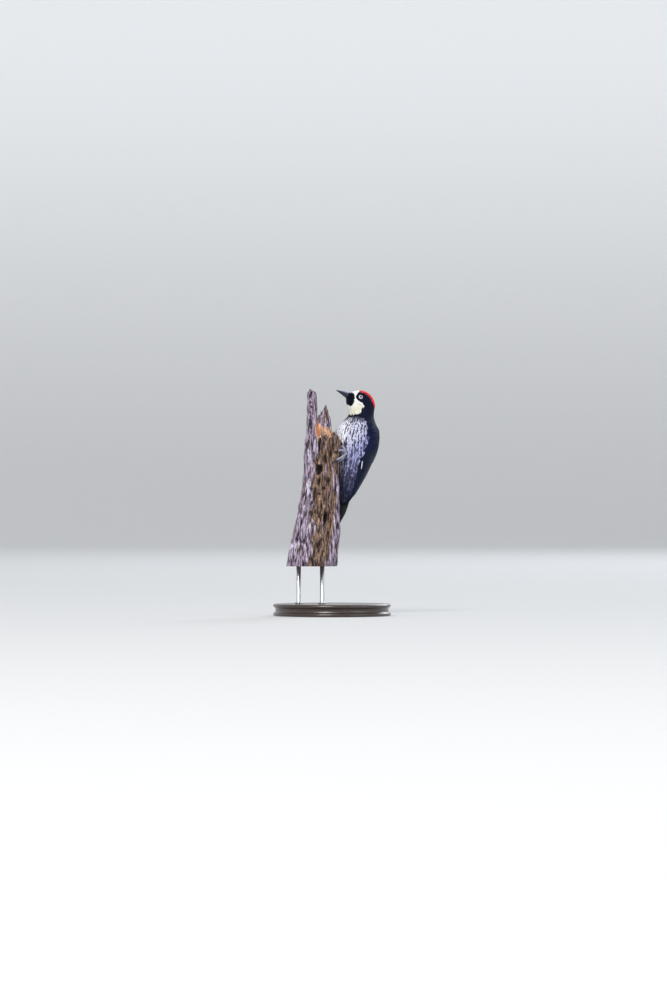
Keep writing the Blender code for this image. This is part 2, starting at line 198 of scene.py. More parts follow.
def studio_sweep():
    """The floor and wall are one turned sheet: flat, then a quarter circle, then straight up."""
    cove = arc((FLOOR_RADIUS, COVE_RADIUS), COVE_RADIUS, -90, 0, 24)
    wall_radius = FLOOR_RADIUS + COVE_RADIUS
    profile = np.concatenate((((1.0, 0.0), (FLOOR_RADIUS * 0.5, 0.0)), cove, ((wall_radius, WALL_TOP),)))
    radius, height = profile.T[..., None]
    angles = ring_angles(96)
    rings = np.stack((radius * np.cos(angles), radius * np.sin(angles), height + 0 * angles), -1)
    rows, columns, _ = rings.shape
    grid, after, quads = ring_quads(rows, columns)
    middle = np.stack((grid[0], after[0], np.full(columns, rows * columns)), -1)
    points = np.concatenate((rings.reshape(-1, 3), ((0.0, 0.0, 0.0),)))
    return shape("studio_sweep", points, quads[:, (0, 3, 2, 1)], [paper_finish()], middle)


def lamp(name, place, size, power, colour):
    """A square lamp aimed at the bird's breast. The camera doesn't see the lamp."""
    data = bpy.data.lights.new(name, "AREA")
    data.size = size
    data.energy = power
    data.color = colour
    made = bpy.data.objects.new(name, data)
    made.location = place
    made.rotation_euler = (AIM - Vector(place)).to_track_quat("-Z", "Y").to_euler()
    made.visible_camera = False
    bpy.context.scene.collection.objects.link(made)


studio_sweep()
lamp("lamp_key", (-1.8, -6.2, 5.0), 2.8, 540.0, (1.0, 0.98, 0.95))
lamp("lamp_fill", (5.2, -3.4, 2.6), 3.6, 90.0, (0.80, 0.88, 1.0))
lamp("lamp_back", (3.2, 5.6, 4.0), 3.0, 230.0, (0.90, 0.95, 1.0))
sky = bpy.data.worlds.new("studio_sky")
sky.use_nodes = True
wire(sky.node_tree, sky.node_tree.nodes["Background"], {"Color": (0.86, 0.92, 1.0, 1.0), "Strength": 0.62})
bpy.context.scene.world = sky
bpy.context.scene.view_settings.view_transform = "Standard"

camera_data = bpy.data.cameras.new("camera")
camera_data.sensor_width = SENSOR
camera_data.lens = SENSOR * VIEW_DISTANCE / VIEW_HEIGHT
camera_data.clip_end = 60.0
camera = bpy.data.objects.new("camera", camera_data)
camera.location = (VIEW_CENTRE[0], -VIEW_DISTANCE, VIEW_CENTRE[1])
camera.rotation_euler = (math.radians(90), 0.0, 0.0)
bpy.context.scene.collection.objects.link(camera)
bpy.context.scene.camera = camera

# The base is a disc of dark lacquered hardwood, turned with two beads and a hollow round its edge. Two
# steel rods stand in it, each in a small turned collar, and carry the perch.
BASE_RADIUS = 78.0
BASE_HEIGHT = 16.0
BEAD = 2.4  # radius of the bead at the top and of the round at the foot
ROD_RADIUS = 3.0
ROD_PLACES = ((-44.0, -16.0), (-13.0, -16.0))
COLLAR_RADIUS = 5.2
COLLAR_HEIGHT = 2.2
SEAM = 0.05  # from the base to what stands on it
EVEN = (1.0, 1.0, 1.0)


def group(name, inputs, outputs):
    """A shader node group: its tree, its inputs' sockets and its output node."""
    tree = bpy.data.node_groups.new(name, "ShaderNodeTree")
    for label, kind, value in inputs:
        tree.interface.new_socket(label, in_out="INPUT", socket_type=kind).default_value = value
    for label, kind in outputs:
        tree.interface.new_socket(label, in_out="OUTPUT", socket_type=kind)
    return tree, tree.nodes.new("NodeGroupInput").outputs, tree.nodes.new("NodeGroupOutput")


def stretched_noise():
    """Shared effect: a mottle from noise that is longer one way than the others, between two colours."""
    tree, given, out = group("stretched_mottle", (
        ("Stretch", "NodeSocketVector", EVEN), ("Scale", "NodeSocketFloat", 100.0),
        ("Low", "NodeSocketColor", (0, 0, 0, 1)), ("High", "NodeSocketColor", (1, 1, 1, 1)),
        ("From", "NodeSocketFloat", 0.35), ("To", "NodeSocketFloat", 0.65)),
        (("Colour", "NodeSocketColor"), ("Mask", "NodeSocketFloat")))
    place = add(tree, "ShaderNodeTexCoord").outputs["Object"]
    scaled = add(tree, "ShaderNodeVectorMath", {0: place, 1: given["Stretch"]}, operation="MULTIPLY")
    scaled = scaled.outputs[0]
    noise = add(tree, "ShaderNodeTexNoise", {"Vector": scaled, "Scale": given["Scale"], "Detail": 5.0,
                                             "Roughness": 0.6}).outputs["Fac"]
    mask = stepped(tree, noise, given["From"], given["To"])
    wire(tree, out, {"Colour": mixed(tree, mask, given["Low"], given["High"]), "Mask": mask})
    return tree


MOTTLE = stretched_noise()


def mottle(tree, stretch, scale, low=(0, 0, 0), high=(1, 1, 1), start=0.35, end=0.65):
    """The shared mottle, placed in a material: its colour and its mask."""
    made = add(tree, "ShaderNodeGroup", node_tree=MOTTLE)
    wire(tree, made, {"Stretch": stretch, "Scale": scale, "Low": (*low, 1), "High": (*high, 1),
                      "From": start, "To": end})
    return made.outputs["Colour"], made.outputs["Mask"]


def bumped(tree, shader, height, strength, distance):
    """Relief on a finish: a height in a bump, to the shader's normal."""
    bump = add(tree, "ShaderNodeBump", {"Height": height, "Strength": strength, "Distance": distance})
    wire(tree, shader, {"Normal": bump.outputs["Normal"]})


def mottled_finish(name, stretch, scale, low, high, bump, depth, **values):
    """A finish whose colour and relief are one mottle."""
    finish, tree, shader = material(name, **values)
    colour, relief = mottle(tree, stretch, scale, low, high)
    wire(tree, shader, {"Base Color": colour})
    bumped(tree, shader, relief, bump, depth)
    return finish


def steel_finish():
    """Steel, brushed along its length."""
    finish, tree, shader = material("brushed_steel", Metallic=1.0)
    brushed, mask = mottle(tree, (1.0, 1.0, 0.05), 4000.0, (0.50, 0.50, 0.51), (0.62, 0.62, 0.63))
    wire(tree, shader, {"Base Color": brushed, "Roughness": stepped(tree, mask, 0.0, 1.0, 0.24, 0.38)})
    return finish


base_profile = np.concatenate((
    ((0.5, 0.0),), arc((BASE_RADIUS - BEAD, BEAD), BEAD, -90, 60, 9),
    arc((BASE_RADIUS + 1.2, BASE_HEIGHT / 2), 4.4, 230, 130, 11),
    arc((BASE_RADIUS - BEAD, BASE_HEIGHT - BEAD), BEAD, -50, 90, 11),
    ((BASE_RADIUS * 0.6, BASE_HEIGHT), (0.5, BASE_HEIGHT))))
lacquer = mottled_finish("lacquered_hardwood", (0.06, 1.0, 1.0), 900.0, (0.016, 0.010, 0.008),
                         (0.050, 0.030, 0.022), 0.12, 0.0002, Roughness=0.32, Coat_Weight=0.35,
                         Coat_Roughness=0.12)
base = turned("display_base", base_profile, lacquer, sides=180)
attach(base, "root")
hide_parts("stand_base")
steel = steel_finish()
for number, rod_place in enumerate(ROD_PLACES, 1):
    low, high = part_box(f"stand_rod_{number}")
    rod_foot, rod_top = low.z / MM, high.z / MM
    collar_top = BASE_HEIGHT + COLLAR_HEIGHT
    rod_profile = np.concatenate((
        ((0.3, rod_foot), (ROD_RADIUS, rod_foot), (ROD_RADIUS, BASE_HEIGHT + SEAM),
         (COLLAR_RADIUS, BASE_HEIGHT + SEAM)),
        arc((COLLAR_RADIUS - 0.6, collar_top - 0.6), 0.6, 0, 90, 6),
        ((ROD_RADIUS + 0.5, collar_top), (ROD_RADIUS, collar_top + 0.5)),
        ((ROD_RADIUS, rod_top - 0.4), (ROD_RADIUS - 0.4, rod_top), (0.3, rod_top))))
    rod = turned(f"steel_rod_{number}", rod_profile, steel, rod_place, 64)
    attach(rod, "root")
    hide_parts(f"stand_rod_{number}")

# The perch is a length of dead spire, sawn off square below and torn above. Its weathered skin is
# lilac grey and fissured along the grain, its heart is brown and fibrous, and the tear shows fresh wood.
SPIRE = (  # z, the middle in X and Y, half-width and half-depth
    (66.0, -27.6, -16.0, 32.8, 29.0), (90.0, -24.6, -16.0, 31.8, 28.0), (107.0, -21.0, -16.0, 30.8, 26.6),
    (127.0, -18.5, -16.0, 28.1, 25.2), (153.0, -16.2, -16.0, 25.6, 20.6), (180.0, -14.0, -16.0, 23.2, 17.0),
    (203.0, -13.5, -16.0, 22.2, 14.8), (220.0, -12.8, -16.0, 22.6, 14.2), (235.0, -12.0, -16.0, 22.4, 13.4),
    (241.0, -14.0, -16.0, 20.0, 11.0))
STAVE = (
    (214.0, -26.6, -17.5, 7.4, 6.0), (245.0, -26.4, -18.0, 7.0, 5.6), (275.0, -26.3, -18.4, 6.8, 5.2),
    (293.0, -26.6, -18.6, 6.2, 4.4), (296.6, -27.8, -18.7, 4.0, 2.8), (299.8, -29.0, -18.8, 0.9, 1.1))
SPLINTER = (
    (224.0, -10.2, -17.0, 10.6, 6.6), (250.0, -11.2, -17.6, 10.2, 5.8), (259.0, -11.0, -17.8, 9.2, 5.2),
    (266.0, -10.2, -18.0, 7.2, 4.8), (272.0, -9.2, -18.2, 4.2, 3.6), (278.6, -8.0, -18.4, 0.8, 0.9))
SHOULDER = (
    (203.0, 1.6, -16.5, 5.6, 6.0), (214.0, 3.6, -16.5, 6.4, 7.2), (224.0, 5.2, -16.5, 6.5, 7.2),
    (236.0, 5.6, -16.5, 6.2, 6.8), (243.0, 4.4, -16.5, 4.4, 4.8))
TEAR_START = 228.0
TEAR_DEPTH = 1.9
# Rotten hollows of the spire, the first a knot hole: plan angle, height, half-width in degrees, half-height,
# and depth as a share of the radius.
CAVITIES = (
    (261, 194.0, 14.5, 6.0, 0.50), (259, 227.0, 4.8, 12.0, 0.21), (260, 179.0, 8.0, 5.5, 0.17),
    (293, 129.0, 8.0, 12.5, 0.26), (266, 139.0, 3.6, 7.5, 0.15), (311, 214.0, 9.0, 11.0, 0.15),
    (284, 208.0, 3.2, 9.0, 0.11), (249, 158.0, 3.4, 8.0, 0.11), (241, 98.0, 8.0, 2.2, 0.10),
    (283, 95.0, 6.0, 8.0, 0.12), (100, 182.0, 7.0, 6.0, 0.22), (62, 118.0, 5.0, 12.0, 0.16),
    (269, 238.0, 5.0, 6.0, 0.10), (282, 236.0, 4.0, 6.0, 0.12), (308, 234.0, 3.2, 9.0, 0.20),
    (322, 231.0, 2.4, 7.0, 0.15), (171, 200.0, 4.0, 10.0, 0.12), (30, 205.0, 5.0, 9.0, 0.12),
    (138, 110.0, 6.0, 9.0, 0.14))
STAVE_HOLES = ((248, 282.0), (262, 276.5), (243, 268.6), (255, 263.3), (240, 252.7), (258, 242.0))
# Fissures of the spire: plan angle in degrees, lowest and highest z, width in degrees, depth as a share.
FISSURES = (
    (238, 90, 225, 2.6, 0.085), (247, 150, 243, 2.0, 0.070), (256, 96, 176, 3.4, 0.100),
    (263, 120, 190, 2.6, 0.11), (268, 202, 243, 3.0, 0.13), (274, 66, 150, 2.4, 0.075),
    (281, 168, 238, 2.8, 0.105), (291, 110, 205, 3.0, 0.09), (300, 190, 243, 2.6, 0.10),
    (309, 80, 170, 2.2, 0.07), (322, 150, 243, 2.6, 0.08), (200, 100, 240, 2.4, 0.07),
    (222, 70, 150, 2.4, 0.08), (150, 66, 210, 3.0, 0.09), (110, 120, 243, 2.6, 0.08),
    (75, 66, 180, 3.0, 0.09), (40, 110, 236, 2.6, 0.08), (12, 70, 160, 2.2, 0.07),
    (178, 150, 236, 2.0, 0.06), (95, 190, 243, 2.4, 0.09))
# Where sun and rain have bleached the skin: X and Z of the middle, half-width and half-height.
BLEACHED = (
    (-30.9, 166.0, 6.5, 14.0), (-28.5, 124.0, 6.0, 11.0), (-50.0, 92.0, 10.0, 7.0),
    (-31.0, 211.0, 3.5, 14.0), (-36.0, 142.0, 4.0, 5.0), (2.0, 120.0, 3.0, 16.0))
# The stems, each with its rings, the points in a ring, the phase of its grain, the roughness of its torn end,
# and where its sectors have snapped off: how many, between which heights, and by what share of the radius.
STEMS = {
    "spire": (SPIRE, 222, 420, 0.0, 0.9, ((30, 231.0, 242.5, 0.05, 0.20),)),
    "stave": (STAVE, 150, 120, 1.7, 0.05, ((10, 284.0, 297.0, 0.12, 0.38), (14, 236.0, 284.0, 0.03, 0.12))),
    "splinter": (SPLINTER, 110, 130, 3.4, 0.05, ((13, 248.0, 274.0, 0.10, 0.36),)),
    "shoulder": (SHOULDER, 70, 110, 5.1, 0.9, ((9, 228.0, 242.0, 0.08, 0.30),))}
# The small spikes: their stem, between which heights their roots lie, and how many there are.
SPIKES = ((SPIRE, 243.0, 236.0, 34), (STAVE, 297.0, 289.0, 10), (SPLINTER, 274.0, 262.0, 12),
          (SHOULDER, 243.5, 238.0, 14))
SPIKE_SIDES = 5
SPIKE_RINGS = 6
SPIKE_SEED = 41
LEDGE_SEED = 60
FACE_SEED = 31  # of the torn faces
PERCH_TOP = 297.5  # no spike's length reaches past this
HOLE_RADIUS = 1.25


def through(table, t):
    """Catmull-Rom curve through the rows of a table at t, counted in rows."""
    rows = np.asarray(table, float)
    t = np.clip(np.atleast_1d(t).astype(float), 0, len(rows) - 1)
    i = np.minimum(t.astype(int), len(rows) - 2)
    f = (t - i)[:, None]
    a = rows[np.maximum(i - 1, 0)]
    b = rows[i]
    c = rows[i + 1]
    d = rows[np.minimum(i + 2, len(rows) - 1)]
    return b + 0.5 * f * (c - a + f * (2 * a - 5 * b + 4 * c - d + f * (3 * (b - c) + d - a)))


def eased(x):
    """From 0 to 1 with a soft start and end, as x squared times (3 - 2x)."""
    x = np.clip(x, 0, 1)
    return x * x * (3 - 2 * x)


def folded(angle):
    """The same angle, between half a turn either way."""
    return (angle + math.pi) % (2 * math.pi) - math.pi


def fibres(angles, z, seed, low, high, waves, drift=0.06):
    """Ridges along the grain, between about -1 and 1: cosines of whole numbers of waves round the stem,
    whose phases drift and sway slowly with height."""
    draw = np.random.default_rng(seed)
    total = 0.0 * angles * z
    for _ in range(waves):
        count = draw.integers(low, high)
        phase, lean, sway, period = draw.uniform((0, -drift, 0.1, 14), (6.3, drift, 0.9, 60))
        fade = 0.6 + 0.4 * np.cos(z / draw.uniform(9, 30) + phase * 3)
        total = total + fade * np.cos(count * angles + phase + lean * z + sway * np.sin(z / period + phase))
    return total / math.sqrt(waves)


def fallen(x, z):
    """How much lower the torn edge of the spire lies towards the bird."""
    return 6.5 * eased((x + 1.0) / 12.5) * np.clip((z - 226) / 14, 0, 1)


def snapped(angles, z, phase, ledges):
    """How much of the radius is gone at a place: each sector of the stem is whole up to its own height."""
    gone = 0.0 * angles * z
    for number, (count, low, high, least, most) in enumerate(ledges):
        draw = np.random.default_rng(LEDGE_SEED + number + int(phase * 10))
        edges = np.sort(draw.uniform(0, 2 * math.pi, count))
        tops, cuts = draw.uniform(low, high, count), draw.uniform(least, most, count)
        sector = np.searchsorted(edges, angles + 0.03 * np.sin(z / 2.3)) % count
        gone = np.maximum(gone, cuts[sector] * eased((z - tops[sector]) / 1.3))
    return gone


def rotted(angles, z):
    """How deep the spire's fissures and hollows are as a share of its radius, and the lips of the hollows.

    A fissure's sides fall as an exponential of its width to the power 1.6 and it wanders as two sines. A
    hollow is an oval whose rim wavers with the bearing from its middle."""
    hollow, lips = 0.0 * angles * z, 0.0 * angles * z
    for angle, low, high, spread, cut in FISSURES:
        bend = 0.05 * np.sin(z / 17 + angle) + 0.018 * np.sin(z / 5.3 + 2 * angle)
        turn = folded(angles - math.radians(angle) + bend)
        along = eased((z - low) / 14) * eased((high - z) / 14 + 0.02 * (high > 240))
        hollow = hollow + cut * along * np.exp(-(np.abs(turn) / math.radians(spread)) ** 1.6)
    for angle, height, spread, tall, cut in CAVITIES:
        across, up = folded(angles - math.radians(angle)) / math.radians(spread), (z - height) / tall
        bearing = np.arctan2(up, across)
        wobble = 1 + 0.10 * np.sin(3 * bearing + angle) + 0.12 * np.sin(5 * bearing + 2 * angle)
        out = np.hypot(across, up) * wobble
        hollow = hollow + cut * np.exp(-(out ** 2.6))
        lips = lips + 0.10 * cut * np.exp(-(((out - 1.35) / 0.35) ** 2))
    return hollow, lips


def bored(angles, z, width):
    """How deep the round borings in the stave are, as a share of its radius."""
    hollow = 0.0 * angles * z
    for angle, height in STAVE_HOLES:
        turn = folded(angles - math.radians(angle))
        near = (turn * width / HOLE_RADIUS) ** 2 + ((z - height) / 1.5) ** 2
        hollow = hollow + 0.34 * np.exp(-(near ** 1.6))
    return hollow


def wood_rings(table, rows, sides, phase, ledges):
    """Rings round a stem, and how deep each point lies in a groove, hollow or pit, which the finish paints as
    shade.

    The stem is an oval with broad flutes along the grain, the cosines of 5, 9 and 14 waves round it. Coarse
    and fine fibres, pits, hollows and snapped sectors follow, and the height of the torn end wavers."""
    line = through(table, np.linspace(0, len(table) - 1, rows))
    z, x, y, width, depth = line.T[..., None]
    angles = ring_angles(sides)[None]
    seed = int(phase * 10)
    grain = 0.030 * np.cos(5 * angles + phase + 0.010 * z)
    grain = grain + 0.022 * np.cos(9 * angles - phase - 0.017 * z)
    grain = grain + 0.016 * np.cos(14 * angles + 2 * phase + 0.05 * np.sin(z / 11))
    small = 16.0 / (width + 4.0)  # thin pieces have deeper fibres for their size
    coarse = fibres(angles, z, 3 + seed, 16, 44, 22)
    fine = fibres(angles, z, 5 + seed, 45, max(60, sides // 5), 40, 0.16)
    ridged = 1 - 2 * np.abs(np.clip(coarse, -1.4, 1.4)) ** 0.7
    texture = 0.022 * small * ridged + 0.0110 * small * np.clip(fine, -1.6, 1.6)
    texture = texture + 0.023 * small * np.tanh(4 * fibres(angles, z * 1.5, 15 + seed, 5, 17, 12, 0.22))
    pits = np.clip(fibres(angles, z * 6, 9 + seed, 20, 70, 24, 0.05) - 1.25, 0, 1)
    texture = texture - 0.05 * small * pits
    hollow = 0.0 * texture
    if table is SPIRE:
        hollow, lips = rotted(angles, z)
        texture = texture + lips
    if table is STAVE:
        hollow = bored(angles, z, width)
    reach = 1 + grain + texture - hollow - snapped(angles, z, phase, ledges)
    torn = TEAR_DEPTH * np.clip((z - TEAR_START) / 10, 0, 1) * width / SPIRE[-1][3]
    torn = torn * (np.cos(3 * angles + 0.8) + 0.6 * np.cos(7 * angles))
    jagged = eased((z - TEAR_START - 6) / 10) * np.clip(width / 12, 0, 1)
    torn = torn + 2.2 * jagged * fibres(angles, z * 0, 21 + seed, 9, 60, 16)
    across = x + width * reach * np.cos(angles)
    if table in (SPIRE, SHOULDER):
        torn = torn - fallen(across, z)
    points = np.stack((across, y + depth * reach * np.sin(angles), z + torn), -1)
    return points, np.clip(hollow * 5 + 0.3 * pits - texture * 13 / small, 0, 1)


def closed_top(points, groove, seed, rise):
    """More rings inside the last one, so that the torn end is a rough face of fibres, not a flat lid, with
    painted shade where it lies low.
    """
    last = points[-1]
    middle = last.mean(0)
    share = np.linspace(1, 0.04, 16)[1:, None]
    inner = middle + (last - middle) * share[..., None]
    rough = fibres(ring_angles(len(last))[None], share * 40, seed, 6, 40, 20, 0.4) + 0.7 * np.cos(share * 21)
    inner[..., 2] += rise * rough * np.minimum(share * 2, 1) - rise * (1 - share)
    # painted shade on the torn face where it lies low
    shade = np.clip(0.35 - 0.4 * rough, 0, 1)
    return np.concatenate((points, inner)), np.concatenate((groove, shade))


def freshness(points):
    """Fresh wood shows where the spire tore: most in an upright strip beside the stave, less in a band that
    falls from the strip's top towards the bird, in the strip's tail, and on the torn face inside the rim."""
    x, y, z = np.moveaxis(points, -1, 0)
    half = 0.9 + 0.15 * np.clip(259 - z, 0, 16) + 0.5 * np.sin(z * 1.1)
    off = (x + 17.8 + (z - 246) * 0.10) / half
    strip = 1.15 * np.exp(-(off ** 2)) * eased((z - 232) / 9) * eased((260 - z) / 6)
    below = z - 254.5 + 0.75 * (x + 16.0)
    band = 0.66 * np.exp(-(((below + 4.6) / 4.4) ** 4)) * eased((x + 18.0) / 3) * eased((1.0 - x) / 4)
    tail = 0.50 * np.exp(-(((x + 17.4) / 2.4) ** 2)) * eased((z - 220) / 14) * (z < 250)
    inside = 0.42 * eased((z - 235) / 6) * (np.hypot((x + 13) / 16, (y + 16) / 8.5) < 1) * (z < 250)
    return np.clip(np.max((strip, band, tail, inside), axis=0), 0, 1)


def heart(points, groove):
    """Where the weathered skin has gone and the brown fibrous heart shows: a wavering band down the front,
    the broken shoulder, and patches behind."""
    x, y, z = np.moveaxis(points, -1, 0)
    middle = -7.0 - 0.055 * (235 - z) + 2.2 * np.sin(z / 16.0) + 1.2 * np.sin(z / 5.7)
    half = 9.0 + 2.0 * np.sin(z / 23.0 + 1)
    front = 0.85 * (1 - eased((np.abs(x - middle) - half) / 9.0)) * eased((256 - z) / 14)
    front = np.maximum(front, 0.34 * eased((z - 250) / 8) * eased((x + 19) / 3))
    corner = 0.80 * eased((x + 5.0) / 6.0) * eased((z - 170) / 20) * eased((250 - z) / 4)
    back = 0.45 * eased((np.sin(z / 31.0 + x / 6.0) - 0.1) / 0.6)
    shown = np.where(y < -16, np.maximum(front, corner), np.maximum(back, 0.6 * corner))
    return np.clip(shown + 0.25 * groove, 0, 1)


def bleached(points):
    """How bleached the weathered skin is: soft ovals, most in their middles."""
    x, z = points[..., 0], points[..., 2]
    ovals = [np.exp(-(((x - middle) / wide) ** 2 + ((z - height) / tall) ** 2) ** 1.5)
             for middle, height, wide, tall in BLEACHED]
    return np.max(ovals, axis=0)


def maths(tree, operation, *values):
    """One step of arithmetic on values in a material."""
    return add(tree, "ShaderNodeMath", dict(enumerate(values)), operation=operation).outputs[0]


def read(tree, name, output="Fac"):
    """What the mesh stores at its points under a name."""
    return add(tree, "ShaderNodeAttribute", attribute_name=name).outputs[output]


def wood_finish():
    """Weathered grey over brown heart over fresh tear, by what the mesh stores, streaked along the grain,
    with painted shade near black in the grooves, hollows and pits.
    """
    finish, tree, shader = material("dead_wood", Roughness=0.88, Specular_IOR_Level=0.2)

    def grained(run, scale, *values, **steps):
        return mottle(tree, (1.0, 1.0, run), scale, *values, **steps)

    def broken_up(name, mask, weight):
        """What the mesh stores, raised where the mask is over a half and lowered where it is under."""
        return maths(tree, "MULTIPLY_ADD", maths(tree, "ADD", mask, -0.5), weight, read(tree, name))

    grey, grey_mask = grained(0.14, 520.0, (0.024, 0.015, 0.025), (0.54, 0.43, 0.56), 0.42, 0.59)
    brown, _ = grained(0.14, 540.0, (0.011, 0.005, 0.004), (0.34, 0.215, 0.165), 0.41, 0.60)
    fresh, fresh_mask = grained(0.12, 1100.0, (0.38, 0.110, 0.040), (1.0, 0.70, 0.52), 0.34, 0.60)
    cracks, crack_mask = grained(0.045, 1500.0, (0.22, 0.20, 0.20), (1, 1, 1), 0.36, 0.47)
    gold = grained(0.24, 420.0, start=0.55, end=0.64)[1]
    pale = grained(0.20, 300.0, start=0.53, end=0.63)[1]
    spots = grained(0.5, 1300.0, start=0.38, end=0.44)[1]
    patch = grained(0.22, 170.0, start=0.36, end=0.62)[1]
    fibre = grained(0.06, 2300.0, start=0.25, end=0.75)[1]
    weathered = mixed(tree, maths(tree, "MULTIPLY", pale, 0.75), grey, (0.76, 0.67, 0.86, 1))
    bare = stepped(tree, broken_up("Bleached", grey_mask, 1.1), 0.45, 1.30)
    weathered = mixed(tree, bare, weathered, (0.80, 0.72, 0.88, 1))
    inner = mixed(tree, maths(tree, "MULTIPLY", gold, 0.7), brown, (0.58, 0.39, 0.24, 1))
    colour = mixed(tree, stepped(tree, broken_up("Heart", patch, 0.9), 0.28, 0.62), weathered, inner)
    torn = broken_up("Fresh", fresh_mask, 0.5)
    bright = mixed(tree, stepped(tree, torn, 0.62, 1.05), fresh, (0.95, 0.52, 0.22, 1), "MULTIPLY")
    colour = mixed(tree, stepped(tree, torn, 0.30, 0.62), colour, bright)
    colour = mixed(tree, 0.85, colour, cracks, "MULTIPLY")
    # painted shade: grooves, hollows, pits and the torn face's low places darkened nearly to black
    groove = maths(tree, "MULTIPLY", read(tree, "GrooveShade"), 0.97)
    colour = mixed(tree, groove, colour, (0.007, 0.005, 0.005, 1))
    rot = maths(tree, "MULTIPLY", maths(tree, "SUBTRACT", 1.0, spots), 0.7)
    wire(tree, shader, {"Base Color": mixed(tree, rot, colour, (0.022, 0.015, 0.017, 1))})
    bumped(tree, shader, maths(tree, "MULTIPLY_ADD", crack_mask, 0.8, fibre), 0.8, 0.0006)
    return finish


def splinter_spikes():
    """Thin pointed fibres that stand from the torn edges: each bends by its height's share to the power 1.6
    and thins by its remaining share to the power 0.75."""
    draw = np.random.default_rng(SPIKE_SEED)
    roots = []
    for table, high, low, count in SPIKES:
        z = draw.uniform(low, high, count)
        row = np.stack([np.interp(z, [r[0] for r in table], [r[i] for r in table]) for i in range(1, 5)], 1)
        angle = draw.uniform(0, 2 * math.pi, count)
        reach = draw.uniform(0.55, 0.93, count)
        x = row[:, 0] + row[:, 2] * reach * np.cos(angle)
        y = row[:, 1] + row[:, 3] * reach * np.sin(angle)
        roots.append(np.stack((x, y, z - 3.0, angle), 1))
    roots = np.concatenate(roots)
    roots[:, 2] -= fallen(roots[:, 0], roots[:, 2] + 3.0) * (roots[:, 2] < 245)
    count = len(roots)
    root_x, root_y, root_z, angle = roots.T[..., None]
    tall = draw.uniform(4.5, 9.5, count)[:, None] * (1 - 0.5 * eased((root_x + 5) / 5))
    tall = np.minimum(tall, PERCH_TOP - root_z)
    wide = draw.uniform(0.35, 0.95, count)[:, None]
    lean = draw.uniform(-0.22, 0.22, (count, 2))
    rise = np.linspace(0, 1, SPIKE_RINGS)[None]
    girth = (wide * (1 - rise) ** 0.75 + 0.04)[..., None]
    turn = ring_angles(SPIKE_SIDES) + angle[..., None]
    x = (root_x + tall * rise ** 1.6 * lean[:, :1])[..., None] + girth * 1.5 * np.cos(turn)
    y = (root_y + tall * rise ** 1.6 * lean[:, 1:])[..., None] + girth * 0.7 * np.sin(turn)
    rings = np.stack((x, y, (root_z + tall * rise)[..., None] + 0 * x), -1)
    grid, _, quads = ring_quads(SPIKE_RINGS, SPIKE_SIDES)
    fan = range(1, SPIKE_SIDES - 1)
    lids = np.array([(grid[0, i + 1], grid[0, i], grid[0, 0]) for i in fan])
    tips = np.array([(grid[-1, 0], grid[-1, i], grid[-1, i + 1]) for i in fan])
    step = grid.size * np.arange(count)[:, None, None]
    return rings.reshape(-1, 3), quads + step, np.concatenate((lids, tips)) + step


dead_wood = wood_finish()
wood_pieces = {}
for number, (stem, (table, rows, sides, phase, rise, ledges)) in enumerate(STEMS.items()):
    rings, groove = closed_top(*wood_rings(table, rows, sides, phase, ledges), FACE_SEED + number, rise)
    stored = {"GrooveShade": groove, "Fresh": freshness(rings), "Heart": heart(rings, groove),
              "Bleached": bleached(rings)}
    wood_pieces[stem] = lofted("perch_" + stem, rings, [dead_wood], stored)
spikes, spike_quads, spike_ends = splinter_spikes()
stored = {"GrooveShade": np.zeros(len(spikes)), "Fresh": freshness(spikes), "Heart": np.full(len(spikes), 0.45)}
wood_pieces["spikes"] = shape("perch_spikes", spikes, spike_quads, [dead_wood], spike_ends, numbers=stored)
for piece in wood_pieces.values():
    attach(piece, "root")
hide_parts("perch")

# The skin is one closed surface from the bill's base to the tail's root. It lies under the feathers by
# the coat's depth and carries their markings, and the whole head is turned a little towards the wood.
BELLY_TURN = math.radians(35)
HEAD_TURN = math.radians(-13)
BIRD_AXIS = (-12.4, -13.5)  # the plan point that the belly faces; b is measured from it
NECK_B = 61.5
SIDES = {"left": 1.0, "right": -1.0}
OUTLINE = (  # the back's b and z, the front's b and z, and the half-width, station by station
    (46.4, 295.2, 41.2, 288.2, 3.9), (49.4, 297.2, 41.6, 283.6, 7.4), (53.6, 298.3, 42.8, 279.6, 10.2),
    (59.4, 299.1, 44.0, 276.0, 12.2), (66.2, 298.2, 44.9, 273.0, 13.4), (73.0, 294.8, 45.4, 270.6, 14.0),
    (78.6, 288.2, 45.4, 268.4, 14.3), (81.2, 280.0, 45.1, 266.4, 14.7), (79.6, 270.6, 43.9, 264.0, 15.8),
    (79.0, 262.8, 40.4, 260.4, 18.8), (80.8, 254.5, 34.5, 254.6, 23.2), (81.4, 243.5, 26.4, 245.2, 27.4),
    (80.6, 231.5, 22.8, 232.5, 28.8), (77.8, 219.0, 23.4, 218.5, 28.2), (71.0, 205.0, 24.8, 203.5, 26.0),
    (60.4, 184.5, 25.4, 183.0, 20.6), (49.6, 167.5, 26.2, 168.0, 15.4), (43.4, 157.5, 28.0, 158.0, 12.6),
    (39.4, 150.0, 28.0, 150.0, 11.6), (34.4, 139.0, 26.0, 139.0, 9.0), (31.0, 132.0, 24.0, 132.0, 7.0))
STATIONS = len(OUTLINE) - 1
SKIN_END = 17.25
SKIN_RINGS, SKIN_SIDES = 210, 160
